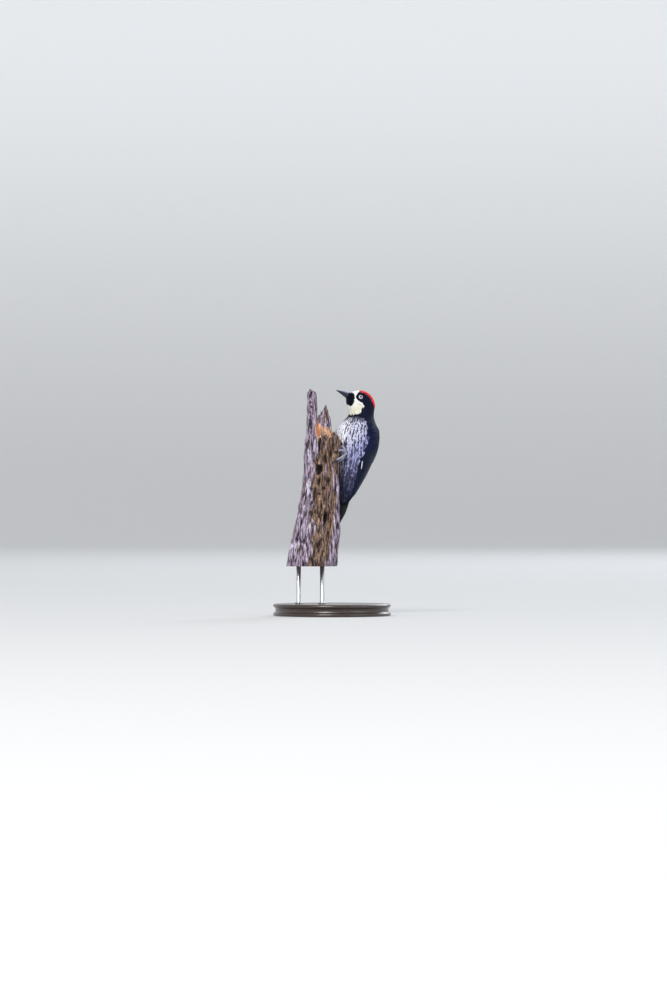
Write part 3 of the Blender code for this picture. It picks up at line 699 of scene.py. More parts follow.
# The markings, as angles in degrees from the crown's ridge (0) to the throat (180) and stations.
BIB_EDGE = (
    (0, 21.5, 57.5, 93, 116.5, 139, 156, 174, 180), (0.55, 0.68, 1.50, 2.36, 2.90, 3.10, 2.78, 1.95, 1.9))
FOREHEAD_EDGE = ((0, 24, 50, 73, 92), (3.1, 2.98, 2.50, 2.31, 2.82))
CHEEK_EDGE = ((2.93, 4.0, 5.33, 5.93, 6.48, 6.78, 7.08, 7.65), (92, 97, 93.5, 93, 97.5, 109.5, 108, 115))
THROAT_END = ((100, 115, 138, 170, 180), (7.6, 7.65, 7.58, 7.33, 7.33))
CROWN_EDGE = ((3.05, 3.12, 4.08, 4.9, 5.85, 6.85, 7.45, 7.8), (28, 41, 38, 41, 46, 44, 36, 28))
STREAK_START = ((62, 80, 90, 91.5, 96, 99, 108, 131, 160, 180),
                (16.5, 14.9, 14.0, 10.6, 9.7, 9.15, 8.85, 8.75, 8.50, 8.45))
DARK_SHARE = ((8.4, 9.0, 9.6, 10.2, 11.0, 12.0, 13.2, 14.5, 16.0, 17.5),
              (0.92, 0.77, 0.62, 0.46, 0.36, 0.34, 0.44, 0.56, 0.64, 0.70))
# The blacks are painted blue: partly the plumage's own blue-black gloss and partly a painted reflection of
# the blue sky, most on the wing and back
INK = np.array((0.0056, 0.0064, 0.0205))
WING_INK = np.array((0.0066, 0.0096, 0.0400))
FOREHEAD_WHITE = np.array((0.95, 0.95, 0.94))
THROAT_CREAM = np.array((0.85, 0.82, 0.67))
CROWN_RED = np.array((0.95, 0.026, 0.032))
BREAST_WHITE = np.array((0.90, 0.90, 0.98))
# painted shade: the breast's white as it looks in the sky's bluish shade
FLANK_PAINTED_SHADE = np.array((0.48, 0.49, 0.82))
# painted shade: the white of the lower belly and vent, dark and bluish as it looks in the shade under the
# body
BELLY_PAINTED_SHADE = np.array((0.11, 0.11, 0.21))
RUMP_WHITE = np.array((0.80, 0.80, 0.80))
BLACK, PALE, RED = 0, 1, 2


def to_world(b, side, z, turn):
    """From the bird's own b, left and up, turned about the neck's axis, to X, Y and Z."""
    away = np.array((math.cos(BELLY_TURN), math.sin(BELLY_TURN)))
    left = np.array((math.sin(BELLY_TURN), -math.cos(BELLY_TURN)))
    from_neck = (b - NECK_B)[..., None] * away + side[..., None] * left
    x = np.cos(turn) * from_neck[..., 0] - np.sin(turn) * from_neck[..., 1] + BIRD_AXIS[0] + NECK_B * away[0]
    y = np.sin(turn) * from_neck[..., 0] + np.cos(turn) * from_neck[..., 1] + BIRD_AXIS[1] + NECK_B * away[1]
    return np.stack((x, y, z + 0 * x), -1)


def body_point(t, angle, lift=0.0):
    """The plumage's outline at station t, at an angle from the back's ridge towards the left side: an
    ellipse between the back line and the front line, grown by the lift and turned with the head."""
    t, angle, lift = np.broadcast_arrays(np.asarray(t, float), angle, lift)
    row = through(OUTLINE, t.ravel()).reshape(*t.shape, 5)
    middle = (row[..., 0:2] + row[..., 2:4]) / 2
    reach = (row[..., 0:2] - row[..., 2:4]) / 2
    grown = 1 + lift / np.linalg.norm(reach, axis=-1)
    along = middle + reach * (grown * np.cos(angle))[..., None]
    side = (row[..., 4] + lift) * np.sin(angle)
    turn = HEAD_TURN * (1 - eased((t - 7.0) / 4.0))
    return to_world(along[..., 0], side, along[..., 1], turn)


def coat_depth(t):
    """How far the skin lies inside the plumage: 0.3 mm at the bill, 0.6 on the head, 1.2 on the breast."""
    return np.interp(t, (0, 1.5, 3, 7, 10, 14, 17), (0.3, 0.4, 0.55, 0.75, 1.2, 1.3, 1.1))


def settled(t):
    """Past the vent and the rump the coverts close down on the tail, so the outline sinks."""
    return -3.6 * eased((t - 16.3) / 1.7)


def blend(a, b, share):
    """One colour blended into another by a share at each place."""
    return a + (b - a) * np.asarray(share)[..., None]


def markings(t, angle):
    """Colour, width of the dark shaft streak (0 for none) and kind of feather at a place on the body."""
    t, angle = np.broadcast_arrays(np.asarray(t, float), angle)
    side = np.abs(np.degrees(angle + math.pi) % 360 - 180)
    # painted shade: the bib's black round the bill is painted a quarter as bright as the other black feathers
    in_bib = eased((3.4 - t) / 0.6)
    colour = blend(INK, WING_INK, 0.45 * eased((t - 8.5) / 2.0)) * (1 - 0.75 * in_bib)[..., None]
    streak = np.zeros(t.shape)
    kind = np.full(t.shape, BLACK)
    behind_bib = t > np.interp(side, *BIB_EDGE)
    forehead = (side < 92) & (t < np.interp(side, *FOREHEAD_EDGE))
    throat = (side >= 92) & (side > np.interp(t, *CHEEK_EDGE)) & (t < np.interp(side, *THROAT_END))
    pale = behind_bib & (forehead | throat)
    cream = blend(FOREHEAD_WHITE, THROAT_CREAM, eased((side - 70) / 50) * eased((t - 2.2) / 3.6))
    colour[pale] = cream[pale]
    crown = (t > 3.05) & (t < 7.85 - 0.9 * (side / 50) ** 2) & (side < np.interp(t, *CROWN_EDGE)) & ~pale
    colour[crown] = CROWN_RED
    below = (t > np.interp(side, *STREAK_START)) & (side > 62)
    flank = eased((122 - side) / 34) * eased((t - 10.5) / 2.0)
    lower = eased((t - 11.6) / 2.2)
    # painted shade: the white turns bluish grey on the flank, lower down, and round from the middle of the
    # breast
    shaded = 0.7 * flank + 0.7 * lower + 0.45 * eased((158 - side) / 30)
    white = blend(BREAST_WHITE, FLANK_PAINTED_SHADE, np.clip(shaded, 0, 1))
    # painted shade: darker and bluer towards the vent
    white = blend(white, BELLY_PAINTED_SHADE, eased((t - 13.4) / 2.6))
    colour[below] = white[below]
    clear = eased((side - 138) / 34) * np.exp(-(((t - 10.9) / 1.4) ** 2))
    share = np.interp(t, *DARK_SHARE) * (1 - 1.2 * clear) + 0.12 * flank
    lines = fibres(angle, t * 32.0, 78, 34, 48, 7, 0.07)  # dark and pale feathers run in rows, which wander
    tufts = fibres(angle, t * 24.0, 77, 14, 32, 12, 0.10)  # and lower down in broader, looser tufts
    low = eased((t - 11.2) / 1.6)
    rows = lines * (1 - 0.5 * low) + tufts * 0.75 * low
    dark = eased((rows - 1.5 * (0.5 - share)) / 0.55 + 0.5)
    streak[below] = np.clip(0.42 * share + 0.80 * dark, 0.03, 1.0)[below]
    rump = (t > 15.2) & (t < 16.9) & (side < 17 + 6 * fibres(angle, t * 12.0, 76, 9, 20, 6))
    colour[rump] = RUMP_WHITE
    kind[pale | below | rump] = PALE
    kind[crown] = RED
    return colour, streak, kind


def toned(tree, colour, tone):
    """A colour scaled by a tone."""
    return add(tree, "ShaderNodeVectorMath", {0: colour, "Scale": tone}, operation="SCALE").outputs[0]


def barbed_vane():
    """Shared effect: the colour of a feather with its dark shaft streak, and the fine ridges of its barbs,
    both drawn on the vane's own map, whose U runs across it and whose V runs from root to tip. The ridges are
    also painted into the colour as painted shade."""
    tree, given, out = group("barbed_vane", (
        ("Colour", "NodeSocketColor", (1, 1, 1, 1)), ("Streak", "NodeSocketFloat", 0.0),
        ("Ink", "NodeSocketColor", (0.01, 0.01, 0.02, 1)), ("Barbs", "NodeSocketFloat", 26.0),
        ("Contrast", "NodeSocketFloat", 0.25)),
        (("Colour", "NodeSocketColor"), ("Height", "NodeSocketFloat")))

    def noise(scale, detail):
        made = add(tree, "ShaderNodeTexNoise", {"Vector": place, "Scale": scale, "Detail": detail})
        return made.outputs["Fac"]

    place = add(tree, "ShaderNodeTexCoord").outputs["Object"]
    vane = add(tree, "ShaderNodeSeparateXYZ", {0: add(tree, "ShaderNodeUVMap", uv_map="Vane").outputs[0]})
    fine, broad = noise(1400.0, 3.0), noise(260.0, 2.0)
    across = maths(tree, "ABSOLUTE", maths(tree, "SUBTRACT", vane.outputs["X"], 0.5))
    across = maths(tree, "MULTIPLY", across, 2.0)
    phase = maths(tree, "MULTIPLY", vane.outputs["Y"], given["Barbs"])
    phase = maths(tree, "SUBTRACT", phase, maths(tree, "MULTIPLY", across, 5.0))
    phase = maths(tree, "MULTIPLY", maths(tree, "MULTIPLY_ADD", fine, 1.6, phase), 2 * math.pi)
    barb = maths(tree, "MULTIPLY_ADD", maths(tree, "SINE", phase), 0.5, 0.5)
    edge = maths(tree, "ADD", across, maths(tree, "MULTIPLY_ADD", fine, 0.22, -0.11))
    width = given["Streak"]
    inner = maths(tree, "MULTIPLY", width, 0.55)
    inside = stepped(tree, edge, inner, maths(tree, "MULTIPLY_ADD", width, 1.25, 0.001), 1.0, 0.0)
    red = add(tree, "ShaderNodeSeparateColor", {"Color": given["Colour"]}).outputs["Red"]
    strength = stepped(tree, red, 0.45, 0.85, 0.90, 1.0)  # softer where the white is painted bluish as shade
    strength = maths(tree, "MULTIPLY", maths(tree, "GREATER_THAN", width, 0.02), strength)
    # painted shade: the colour darkens between the barbs' ridges, with their relief
    shade = maths(tree, "MULTIPLY", given["Contrast"], maths(tree, "SUBTRACT", barb, 0.6))
    tone = maths(tree, "ADD", maths(tree, "ADD", 1.0, shade), maths(tree, "MULTIPLY_ADD", broad, 0.5, -0.25))
    colour = mixed(tree, maths(tree, "MULTIPLY", inside, strength), toned(tree, given["Colour"], tone),
                   given["Ink"])
    shaft = stepped(tree, across, 0.03, 0.10, 1.2, 0.0)
    wire(tree, out, {"Colour": colour, "Height": maths(tree, "ADD", barb, shaft)})
    return tree


VANE = barbed_vane()


def feather_finish(name, barbs=26.0, contrast=0.25, bump=0.35, **values):
    """Feathers of one sheen, whose colour and streak are what the mesh stores."""
    finish, tree, shader = material(name, **values)
    vane = add(tree, "ShaderNodeGroup", node_tree=VANE)
    wire(tree, vane, {"Ink": (*(INK * 1.3), 1), "Barbs": barbs, "Contrast": contrast,
                      "Colour": read(tree, "Markings", "Color"), "Streak": read(tree, "Streak")})
    wire(tree, shader, {"Base Color": vane.outputs["Colour"]})
    bumped(tree, shader, vane.outputs["Height"], bump, 0.00012)
    return finish


def skin_finish():
    """The downy skin that shows between the feathers, in their own colours."""
    finish, tree, shader = material("skin_under_feathers", Roughness=0.8)
    down, relief = mottle(tree, (1.0, 1.0, 0.5), 1300.0, (0.72, 0.72, 0.72))
    colour = mixed(tree, 1.0, read(tree, "Markings", "Color"), down, "MULTIPLY")
    wire(tree, shader, {"Base Color": colour})
    bumped(tree, shader, relief, 0.5, 0.0002)
    return finish


def unwrapped():
    """The skin's map at its faces' corners: U round the body, V along it, the end fans on the map's edges."""
    u = np.linspace(0, 1, SKIN_SIDES + 1)
    v = np.linspace(0, SKIN_END / STATIONS, SKIN_RINGS)
    left, low = np.meshgrid(u[:-1], v[:-1])
    right, high = np.meshgrid(u[1:], v[1:])
    sheet = np.stack((left, low, right, low, right, high, left, high), -1).reshape(-1, 2)
    first = np.stack((u[1:], 0 * u[1:], u[:-1], 0 * u[1:], (u[1:] + u[:-1]) / 2, 0 * u[1:]), -1)
    last = first.copy()
    last[:, 1::2] = v[-1]
    return np.concatenate((sheet, first.reshape(-1, 2), last.reshape(-1, 2)))


def skin():
    """Rings of the body's surface, sunk by the coat's depth."""
    t = np.linspace(0.0, SKIN_END, SKIN_RINGS)[:, None]
    angle = ring_angles(SKIN_SIDES)[None] + 0 * t
    points = body_point(t, angle, settled(t) - coat_depth(t))
    colour, streak, _ = markings(t, angle)
    # painted shade: the skin is a fifth darker than the feathers' colours, for the shade between them
    colour = blend(colour, INK, np.clip(streak * 1.1, 0, 1)) * 0.8
    made = lofted("skin", points, [skin_finish()], colours={"Markings": colour}, maps={"OFBake": unwrapped()})
    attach(made, "root")
    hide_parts("head", "neck", "trunk")


skin()

# Each eye is a glossy ball set into the head up to the lids: a small dark pupil, a white iris with fine
# rays and a dark rim. The lids are a ring of bare dark skin, puckered, that hugs the ball.
EYE_STATION = 3.58
EYE_ANGLE = math.radians(73.5)
EYE_RADIUS = 4.2
EYE_PROUD = 1.0
PUPIL = 21.0  # degrees from the eye's axis
IRIS = 36.5
LID_OPEN = 38.5
LID_RADIUS = 0.25
STEP = 0.01  # of a surface's own measure, over which its slope is taken


def across_surface(place, u, v):
    """The directions along u and along v at a place on a surface, each per unit of u or v."""
    along_u = (place(u + STEP, v, 0.0) - place(u - STEP, v, 0.0)) / (2 * STEP)
    along_v = (place(u, v + STEP, 0.0) - place(u, v - STEP, 0.0)) / (2 * STEP)
    return along_u, along_v


def eye_frame(sign):
    """The ball's centre and three axes: square out of the head, back along it, and up."""
    surface = body_point(EYE_STATION, sign * EYE_ANGLE)
    back, down = across_surface(body_point, EYE_STATION, sign * EYE_ANGLE)
    outwards = np.cross(back, down) * np.sign(np.cross(back, down) @ (surface - body_point(3.6, 0, -12.0)))
    outwards /= np.linalg.norm(outwards)
    back = back / np.linalg.norm(back)
    return surface - outwards * (EYE_RADIUS - EYE_PROUD), outwards, back, np.cross(outwards, back)


def from_eye(eye, tilt, turn, reach):
    """Points about an eye, at an angle from its axis, a turn round the axis and a reach from its centre."""
    centre, outwards, back, up = eye
    points = centre + (reach * np.cos(tilt) + 0 * turn)[..., None] * outwards
    points = points + (reach * np.sin(tilt) * np.cos(turn))[..., None] * back
    return points + (reach * np.sin(tilt) * np.sin(turn))[..., None] * up


def eye_finish():
    """Pupil, iris and rim by the angle from the eye's axis, with rays round it, under a clear wet coat."""
    finish, tree, shader = material("eye", Roughness=0.25, Specular_IOR_Level=0.2, Coat_Weight=0.5,
                                     Coat_Roughness=0.015)
    ramp = add(tree, "ShaderNodeValToRGB", {"Fac": read(tree, "FromAxis")})
    stops = ((0.0, (0.003, 0.003, 0.004)), (PUPIL - 1.2, (0.003, 0.003, 0.004)),
             (PUPIL + 0.4, (0.30, 0.25, 0.28)), (PUPIL + 4, (0.82, 0.73, 0.82)),
             (IRIS - 8, (0.97, 0.90, 0.95)), (IRIS - 2.5, (0.42, 0.35, 0.38)),
             (IRIS + 0.8, (0.012, 0.012, 0.014)))
    while len(ramp.color_ramp.elements) < len(stops):
        ramp.color_ramp.elements.new(0.5)
    for element, (degrees, colour) in zip(ramp.color_ramp.elements, stops):
        element.position = degrees / 90
        element.color = (*colour, 1)
    rays = maths(tree, "MULTIPLY", read(tree, "Ray"), 12.0)
    fine = add(tree, "ShaderNodeTexNoise", {"W": rays, "Scale": 4.0, "Detail": 3.0}, noise_dimensions="1D")
    tone = stepped(tree, fine.outputs["Fac"], 0.0, 1.0, 0.80, 1.08)
    wire(tree, shader, {"Base Color": toned(tree, ramp.outputs["Color"], tone)})
    return finish


def eyeball(side, eye, finish):
    """A ball whose clear front stands out by 0.22 mm, as a Gaussian of the angle from its axis."""
    tilt = np.radians(np.linspace(1.2, 176, 60))[:, None]
    turn = ring_angles(72)[None]
    bulge = EYE_RADIUS + 0.22 * np.exp(-((tilt / math.radians(30)) ** 2))
    rings = from_eye(eye, tilt, turn, bulge)
    stored = {"FromAxis": np.degrees(tilt) / 90 + 0 * turn, "Ray": np.abs(turn - math.pi) + 0 * tilt}
    ball = lofted(f"eyeball_{side}", rings[::-1], [finish], {k: v[::-1] for k, v in stored.items()})
    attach(ball, "root")
    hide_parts("eye_" + side)


def eyelids(side, eye, finish):
    """A puckered ring round an opening that is a little longer than high."""
    turn = ring_angles(120)[:, None]
    girth = ring_angles(14)[None]
    opening = np.radians(LID_OPEN + 1.8 * np.cos(2 * turn) - 1.2 * np.clip(np.sin(turn), 0, 1) ** 2)
    pucker = LID_RADIUS * (1 + 0.13 * np.sin(34 * turn) + 0.08 * np.sin(55 * turn + 1))
    tilt = opening + (pucker * 1.5 * np.cos(girth) + 0.35) / EYE_RADIUS
    rings = from_eye(eye, tilt, turn, EYE_RADIUS + 0.05 + pucker * np.sin(girth) * 0.85)
    grid = np.arange(turn.size * girth.size).reshape(turn.size, girth.size)
    after, aside = np.roll(grid, -1, axis=0), np.roll(grid, -1, axis=1)
    quads = np.stack((grid, after, np.roll(after, -1, axis=1), aside), -1)
    lids = shape(f"eyelids_{side}", rings.reshape(-1, 3), quads, [finish])
    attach(lids, "root")


EYES = {side: eye_frame(sign) for side, sign in SIDES.items()}
eye_glass = eye_finish()
lid_skin = mottled_finish("eyelid_skin", EVEN, 2500.0, (0.012, 0.012, 0.015), (0.050, 0.050, 0.058), 0.5,
                          0.0001, Roughness=0.5)
for side, eye in EYES.items():
    eyeball(side, eye, eye_glass)
    eyelids(side, eye, lid_skin)

# The coat is laid in tracts of overlapping feathers, from bristly ones at the bill to broad ones on the
# breast and back. Each is a thin closed vane, rooted at the skin, that follows the body to its free tip.
FEATHER_SEED = 20
# A tract: first and last station, spacing along and across, length, width, rise of the tip, and a vane's
# rows and columns.
TRACTS = (
    (0.02, 0.80, 0.62, 0.52, 1.9, 0.66, 0.04, 3, 4),
    (0.80, 1.90, 0.78, 0.62, 2.4, 0.90, 0.05, 4, 4),
    (1.90, 3.40, 0.95, 0.74, 2.9, 1.12, 0.06, 4, 4),
    (3.40, 5.60, 1.20, 0.90, 3.7, 1.42, 0.07, 4, 4),
    (5.60, 7.50, 1.55, 1.08, 4.8, 1.85, 0.10, 5, 4),
    (7.50, 9.00, 2.00, 1.20, 6.6, 2.30, 0.16, 5, 6),
    (9.00, 11.0, 2.60, 1.38, 9.0, 2.90, 0.22, 6, 6),
    (11.0, 12.6, 2.90, 1.52, 10.4, 3.30, 0.26, 6, 6),
    (12.6, 14.0, 2.90, 1.52, 11.0, 3.30, 0.30, 6, 6),
    (14.0, 15.6, 3.00, 1.60, 11.0, 3.50, 0.28, 6, 6),
    (15.6, 17.15, 3.00, 1.80, 12.0, 4.00, 0.16, 6, 6))
WING = (  # station, upper and lower angle from the back's ridge in degrees, thickness
    (10.2, 46.0, 76.0, 0.9), (10.8, 34.0, 88.0, 2.2), (11.8, 26.0, 94.0, 2.8), (13.0, 20.0, 101.0, 2.7),
    (14.0, 17.0, 108.0, 2.5), (15.0, 15.0, 100.0, 2.3), (16.0, 13.0, 88.0, 2.1), (17.0, 12.0, 73.0, 1.9),
    (18.0, 12.0, 60.0, 1.6), (19.0, 24.0, 46.0, 1.2))
WING_LIFT = 1.25  # from the trunk's outline to where the wing's own thickness starts
COAT_PARTS = {"coat_face": (0.0, 3.4), "coat_head": (3.4, 7.5), "coat_neck": (7.5, 11.0),
              "coat_body": (11.0, 14.0), "coat_rump_and_vent": (14.0, 20.0)}
BLUNT = 0.42  # a feather tip's width as a share of the widest
RAGGED = 0.035  # how uneven its edge is, as a share of its length
EYE_AREA = 8.0  # from an eye's axis, as far as feathers heed it
ROOTS_FROM_EYE = 2.78
TIPS_FROM_EYE = 2.65
LID_RIM = 3.02
MAP_EDGE = 0.002
ROOT_PATCH = 0.0015  # half the size of a small feather's patch of the map


def wing_row(t):
    """The wing's upper and lower angle and its thickness at station t."""
    rows = np.array(WING)
    i = np.interp(np.clip(t, WING[0][0], WING[-1][0]), rows[:, 0], np.arange(len(WING)))
    row = through(WING, np.ravel(i)).reshape(*np.shape(i), 4)
    return np.radians(row[..., 1]), np.radians(row[..., 2]), row[..., 3]


def wing_height(t, share):
    """How far a folded wing stands over the trunk: its thickness falls off near both edges like a cushion's,
    and it all eases in from nothing at the shoulder."""
    crown = (1 - np.abs(2 * np.clip(share, 0, 1) - 1) ** 3) ** 0.5
    return (WING_LIFT + wing_row(t)[2] * crown) * eased((t - 9.2) / 1.7)


def wing_point(t, share, lift=0.0, sign=1.0):
    """The outer side of a folded wing: share 0 is its edge on the back and 1 its edge on the flank."""
    t, share, lift = np.broadcast_arrays(np.asarray(t, float), share, lift)
    upper, lower, _ = wing_row(t)
    angle = upper + (lower - upper) * share
    sunk = 3.0 * eased((t - 16.2) / 2.6) + 2.4 * np.clip(share, 0, 1.3) ** 2 * eased((t - 15.6) / 2.0)
    return body_point(t, sign * angle, wing_height(t, share) + lift - sunk)


def vane_faces(rows, columns):
    """Quads of one closed vane: an upper sheet, and a lower one that shares the upper one's border."""
    top = np.arange((rows + 1) * (columns + 1)).reshape(rows + 1, columns + 1)
    under = top.copy()
    under[1:-1, 1:-1] = top.size + np.arange((rows - 1) * (columns - 1)).reshape(rows - 1, columns - 1)

    def sheet(index):
        return np.stack((index[:-1, :-1], index[:-1, 1:], index[1:, 1:], index[1:, :-1]), -1).reshape(-1, 4)

    return np.concatenate((sheet(top), sheet(under)[:, ::-1]))


def vane_sheet(rows, columns, length, width, draw):
    """Where a vane's points lie in millimetres along and across it, and their shares of its length and
    half-width. The half-width swells as a quarter sine to 0.6 of the length, then narrows as a parabola to
    the blunt tip, whose edge is bowed and slightly ragged."""
    a = (np.linspace(0, 1, rows + 1) ** 0.85)[None, :, None]
    b = np.linspace(-1, 1, columns + 1)[None, None, :]
    swell = 0.28 + 0.72 * np.sin(math.pi / 2 * np.minimum(a / 0.6, 1))
    swell = swell - (1 - BLUNT) * np.clip((a - 0.6) / 0.4, 0, 1) ** 2
    along = a - (0.17 + 0.10 * (1 - BLUNT)) * np.abs(b) ** 1.8 * a ** 2
    wobble = draw.uniform(-1, 1, (len(length), rows + 1, columns + 1)) * RAGGED * a ** 3
    comb = 1.2 * RAGGED * np.cos(math.pi * np.arange(columns + 1))[None, None] * a ** 8
    along = (along + wobble + comb) * length[:, None, None]
    across = b * swell * (1 + 0.5 * wobble) * width[:, None, None] / 2
    return along, across, a + 0 * across, b + 0 * across


def laid(place, u, v, along, across, skew):
    """Surface coordinates of a vane's points: its length runs along u, at the surface's own scale, which
    changes evenly from root to tip, and its width runs along v, the whole vane turned by the skew."""
    u, v, skew = u[:, None, None], v[:, None, None], skew[:, None, None]
    scale_u, scale_v = (np.linalg.norm(way, axis=-1) for way in across_surface(place, u, v))
    length = np.abs(along).max((1, 2), keepdims=True)
    tip_u = u + length / scale_u * 0.8
    far_u, far_v = (np.linalg.norm(way, axis=-1) for way in across_surface(place, tip_u, v))
    turned_along = along * np.cos(skew) - across * np.sin(skew)
    turned_across = along * np.sin(skew) + across * np.cos(skew)
    share = np.clip(turned_along / length, 0, 1)
    return (u + turned_along * ((1 - share / 2) / scale_u + share / 2 / far_u),
            v + turned_across * ((1 - share) / scale_v + share / far_v))


def both_sheets(value):
    """Values at each vane's points: its upper sheet's, then its lower sheet's inside the shared border."""
    sheets = (value, value[:, 1:-1, 1:-1])
    return np.concatenate([sheet.reshape(len(value), -1, *value.shape[3:]) for sheet in sheets], axis=1)


def vane_mesh(name, vanes, finishes, colour, root_map=None, streak=0.0, kind=0, flip=False):
    """Joins many vanes of one pattern into an object. On the map each has a small patch at its root's place,
    or, without such places, a strip beside its neighbours' strips."""
    top, under, a, b = vanes
    count, rows, columns = len(top), top.shape[1] - 1, top.shape[2] - 1
    points = np.concatenate((top.reshape(count, -1, 3), under[:, 1:-1, 1:-1].reshape(count, -1, 3)), axis=1)
    faces = vane_faces(rows, columns)[:, ::-1] if flip else vane_faces(rows, columns)
    quads = faces[None] + (np.arange(count) * points.shape[1])[:, None, None]
    a, b = both_sheets(a), both_sheets(b)
    if root_map is None:
        middle = (np.arange(count)[:, None] + 0.5) / count
        patch = np.stack((middle + 0.42 / count * b, 0.03 + 0.94 * a), -1)
    else:
        root_map = np.clip(root_map, MAP_EDGE, 1 - MAP_EDGE)
        patch = root_map[:, None] + ROOT_PATCH * np.stack((b, 2 * a - 1), -1)
    maps = {"OFBake": patch, "Vane": np.stack(((b + 1) / 2, a), -1)}
    colour = np.broadcast_to(colour[:, None] if colour.ndim == 2 else both_sheets(colour), (*a.shape, 3))
    streak = np.broadcast_to(np.reshape(streak, (-1, 1)), a.shape)
    return shape(name, points.reshape(-1, 3), quads, finishes,
                 maps={key: value.reshape(-1, 2) for key, value in maps.items()},
                 colours={"Markings": colour.reshape(-1, 3)}, numbers={"Streak": streak},
                 wears=np.repeat(np.broadcast_to(kind, count), len(faces)))


def tract_roots(start, end, spacing, across, draw):
    """Roots of a tract: columns at even angles, each filled at even steps of its own arc length, with
    every other column half a step on, and a little disorder."""
    rings = body_point(np.linspace(start, end, 5)[:, None], np.linspace(0, 2 * math.pi, 90)[None])
    girth = np.linalg.norm(np.diff(rings, axis=1), axis=2).sum(1).mean()
    columns = 2 * max(int(round(girth / across / 2)), 4)
    t = np.linspace(start, end, 60)
    roots_t, roots_angle = [], []
    for column in range(columns):
        angle = (column + 0.5) * 2 * math.pi / columns
        steps = np.linalg.norm(np.diff(body_point(t, angle), axis=0), axis=1)
        run = np.concatenate(((0.0,), np.cumsum(steps)))
        wanted = np.arange(0.25 + 0.5 * (column % 2), run[-1] / spacing, 1.0) * spacing
        wanted = wanted + draw.uniform(-0.30, 0.30, len(wanted)) * spacing
        roots_t.append(np.interp(wanted, run, t))
        roots_angle.append(angle + draw.uniform(-0.30, 0.30, len(wanted)) * 2 * math.pi / columns)
    return np.concatenate(roots_t), np.concatenate(roots_angle)


def past_wing_edge(t, angle):
    """How many millimetres a place lies inside the wing's upper and lower edge; the less of the two."""
    side = np.abs(folded(angle))
    upper, lower, _ = wing_row(t)
    half = through(OUTLINE, np.ravel(t))[:, 4].reshape(np.shape(t))
    depth = np.minimum(lower - side, side - upper) * half
    return np.where((t > WING[0][0] - 0.3) & (t < 17.6), depth, -20.0)


def over_wing(t, angle, rooted_inside):
    """Extra lift for feathers rooted outside the wing whose tips lie on it."""
    side = np.abs(folded(angle))
    upper, lower, _ = wing_row(t)
    height = wing_height(t, (side - upper) / (lower - upper)) + 0.35 * eased((t - 9.8) / 1.0)
    raised = eased((past_wing_edge(t, angle) + 1.2) / 2.0) * height * eased((14.3 - t) / 0.8)
    return np.where(rooted_inside, 0.0, raised)


def clear_of_eyes(roots, ahead, length):
    """Which feathers are rooted clear of the lids, and how long each may be if it points at one."""
    keep = np.full(len(roots), True)
    for centre, outwards, _, _ in EYES.values():
        to_eye = centre + outwards * EYE_RADIUS - roots
        near = np.linalg.norm(to_eye, axis=1) < EYE_AREA
        to_eye -= (to_eye @ outwards)[:, None] * outwards
        gap = np.linalg.norm(to_eye, axis=1)
        keep &= ~(near & (gap < ROOTS_FROM_EYE))
        facing = (to_eye * ahead).sum(1) / np.maximum(gap, 1e-6)
        length = np.where(near & (facing > 0.35), np.clip(gap - TIPS_FROM_EYE, 0.8, length), length)
    return keep, length


def pushed_off_eyes(points):
    """The points, with those that lie over an eye moved out to the rim of its lids."""
    for centre, outwards, _, _ in EYES.values():
        away = points - centre
        height = away @ outwards
        flat = away - height[..., None] * outwards
        gap = np.linalg.norm(flat, axis=-1)
        push = np.where((height > 0) & (gap < LID_RIM), LID_RIM / np.maximum(gap, 1e-6), 1.0)
        points = points + flat * (push - 1)[..., None]
    return points


def lay_tract(tract, draw):
    """A tract's vanes, colours, places on the map, streaks and kinds. A feather rises off the skin as one
    less (1 - a) to the power 2.1, with a the share of its length, is arched across, and lies over the wing
    where it reaches it."""
    start, end, spacing, apart, length, width, rise, rows, columns = tract
    t, angle = tract_roots(start, end, spacing, apart, draw)
    ahead, _ = across_surface(body_point, t, angle)
    slope = np.linalg.norm(ahead, axis=1)
    keep = (past_wing_edge(t, angle) < 1.5) | (past_wing_edge(t + 0.8 * length / slope, angle) < 1.0)
    lengths = np.full(len(t), float(length)) * draw.uniform(0.90, 1.10, len(t))
    clear, lengths = clear_of_eyes(body_point(t, angle), ahead / slope[:, None], lengths)
    keep &= clear
    t, angle, lengths = t[keep], angle[keep], lengths[keep]
    count = len(t)
    wide = width * draw.uniform(0.9, 1.1, count) * np.clip(lengths / length, 0.55, 1)
    along, across, a, b = vane_sheet(rows, columns, lengths, wide, draw)
    loose = eased((t - 8.2) / 2.0)  # the breast and belly are looser than the head
    skew = draw.normal(0.0, 1.0, count) * (0.06 + 0.06 * loose)
    skew = skew + (0.10 + 0.06 * loose) * fibres(angle, t * 12.0, 79, 5, 16, 8, 0.12)
    vane_t, vane_angle = laid(body_point, t, angle, along, across, skew)
    depth = coat_depth(t)[:, None, None] + 0.1
    side = np.sign(folded(angle))[:, None, None]
    lift = -depth + (depth + rise * draw.uniform(0.3, 1.5, count)[:, None, None]) * (1 - (1 - a) ** 2.1)
    lift = lift + 0.020 * width * (1 - b ** 2) * (1 - 0.4 * a) + 0.014 * width * b * side
    rooted_inside = (past_wing_edge(t, angle) > 0.6)[:, None, None]
    lift = lift + over_wing(vane_t, vane_angle, rooted_inside) * eased(a / 0.5) + settled(vane_t)
    top = pushed_off_eyes(body_point(vane_t, vane_angle, lift))
    under = pushed_off_eyes(body_point(vane_t, vane_angle, lift - 0.014 * width - 0.02))
    colour, streak, kind = markings(vane_t[:, -2, columns // 2], vane_angle[:, -2, columns // 2])
    colour = colour * draw.uniform(0.90, 1.08, count)[:, None]
    root_map = np.stack((folded(angle) / (2 * math.pi) + 0.5, t / STATIONS), -1)
    return (top, under, a, b), colour, root_map, streak * draw.uniform(0.65, 1.35, count), kind


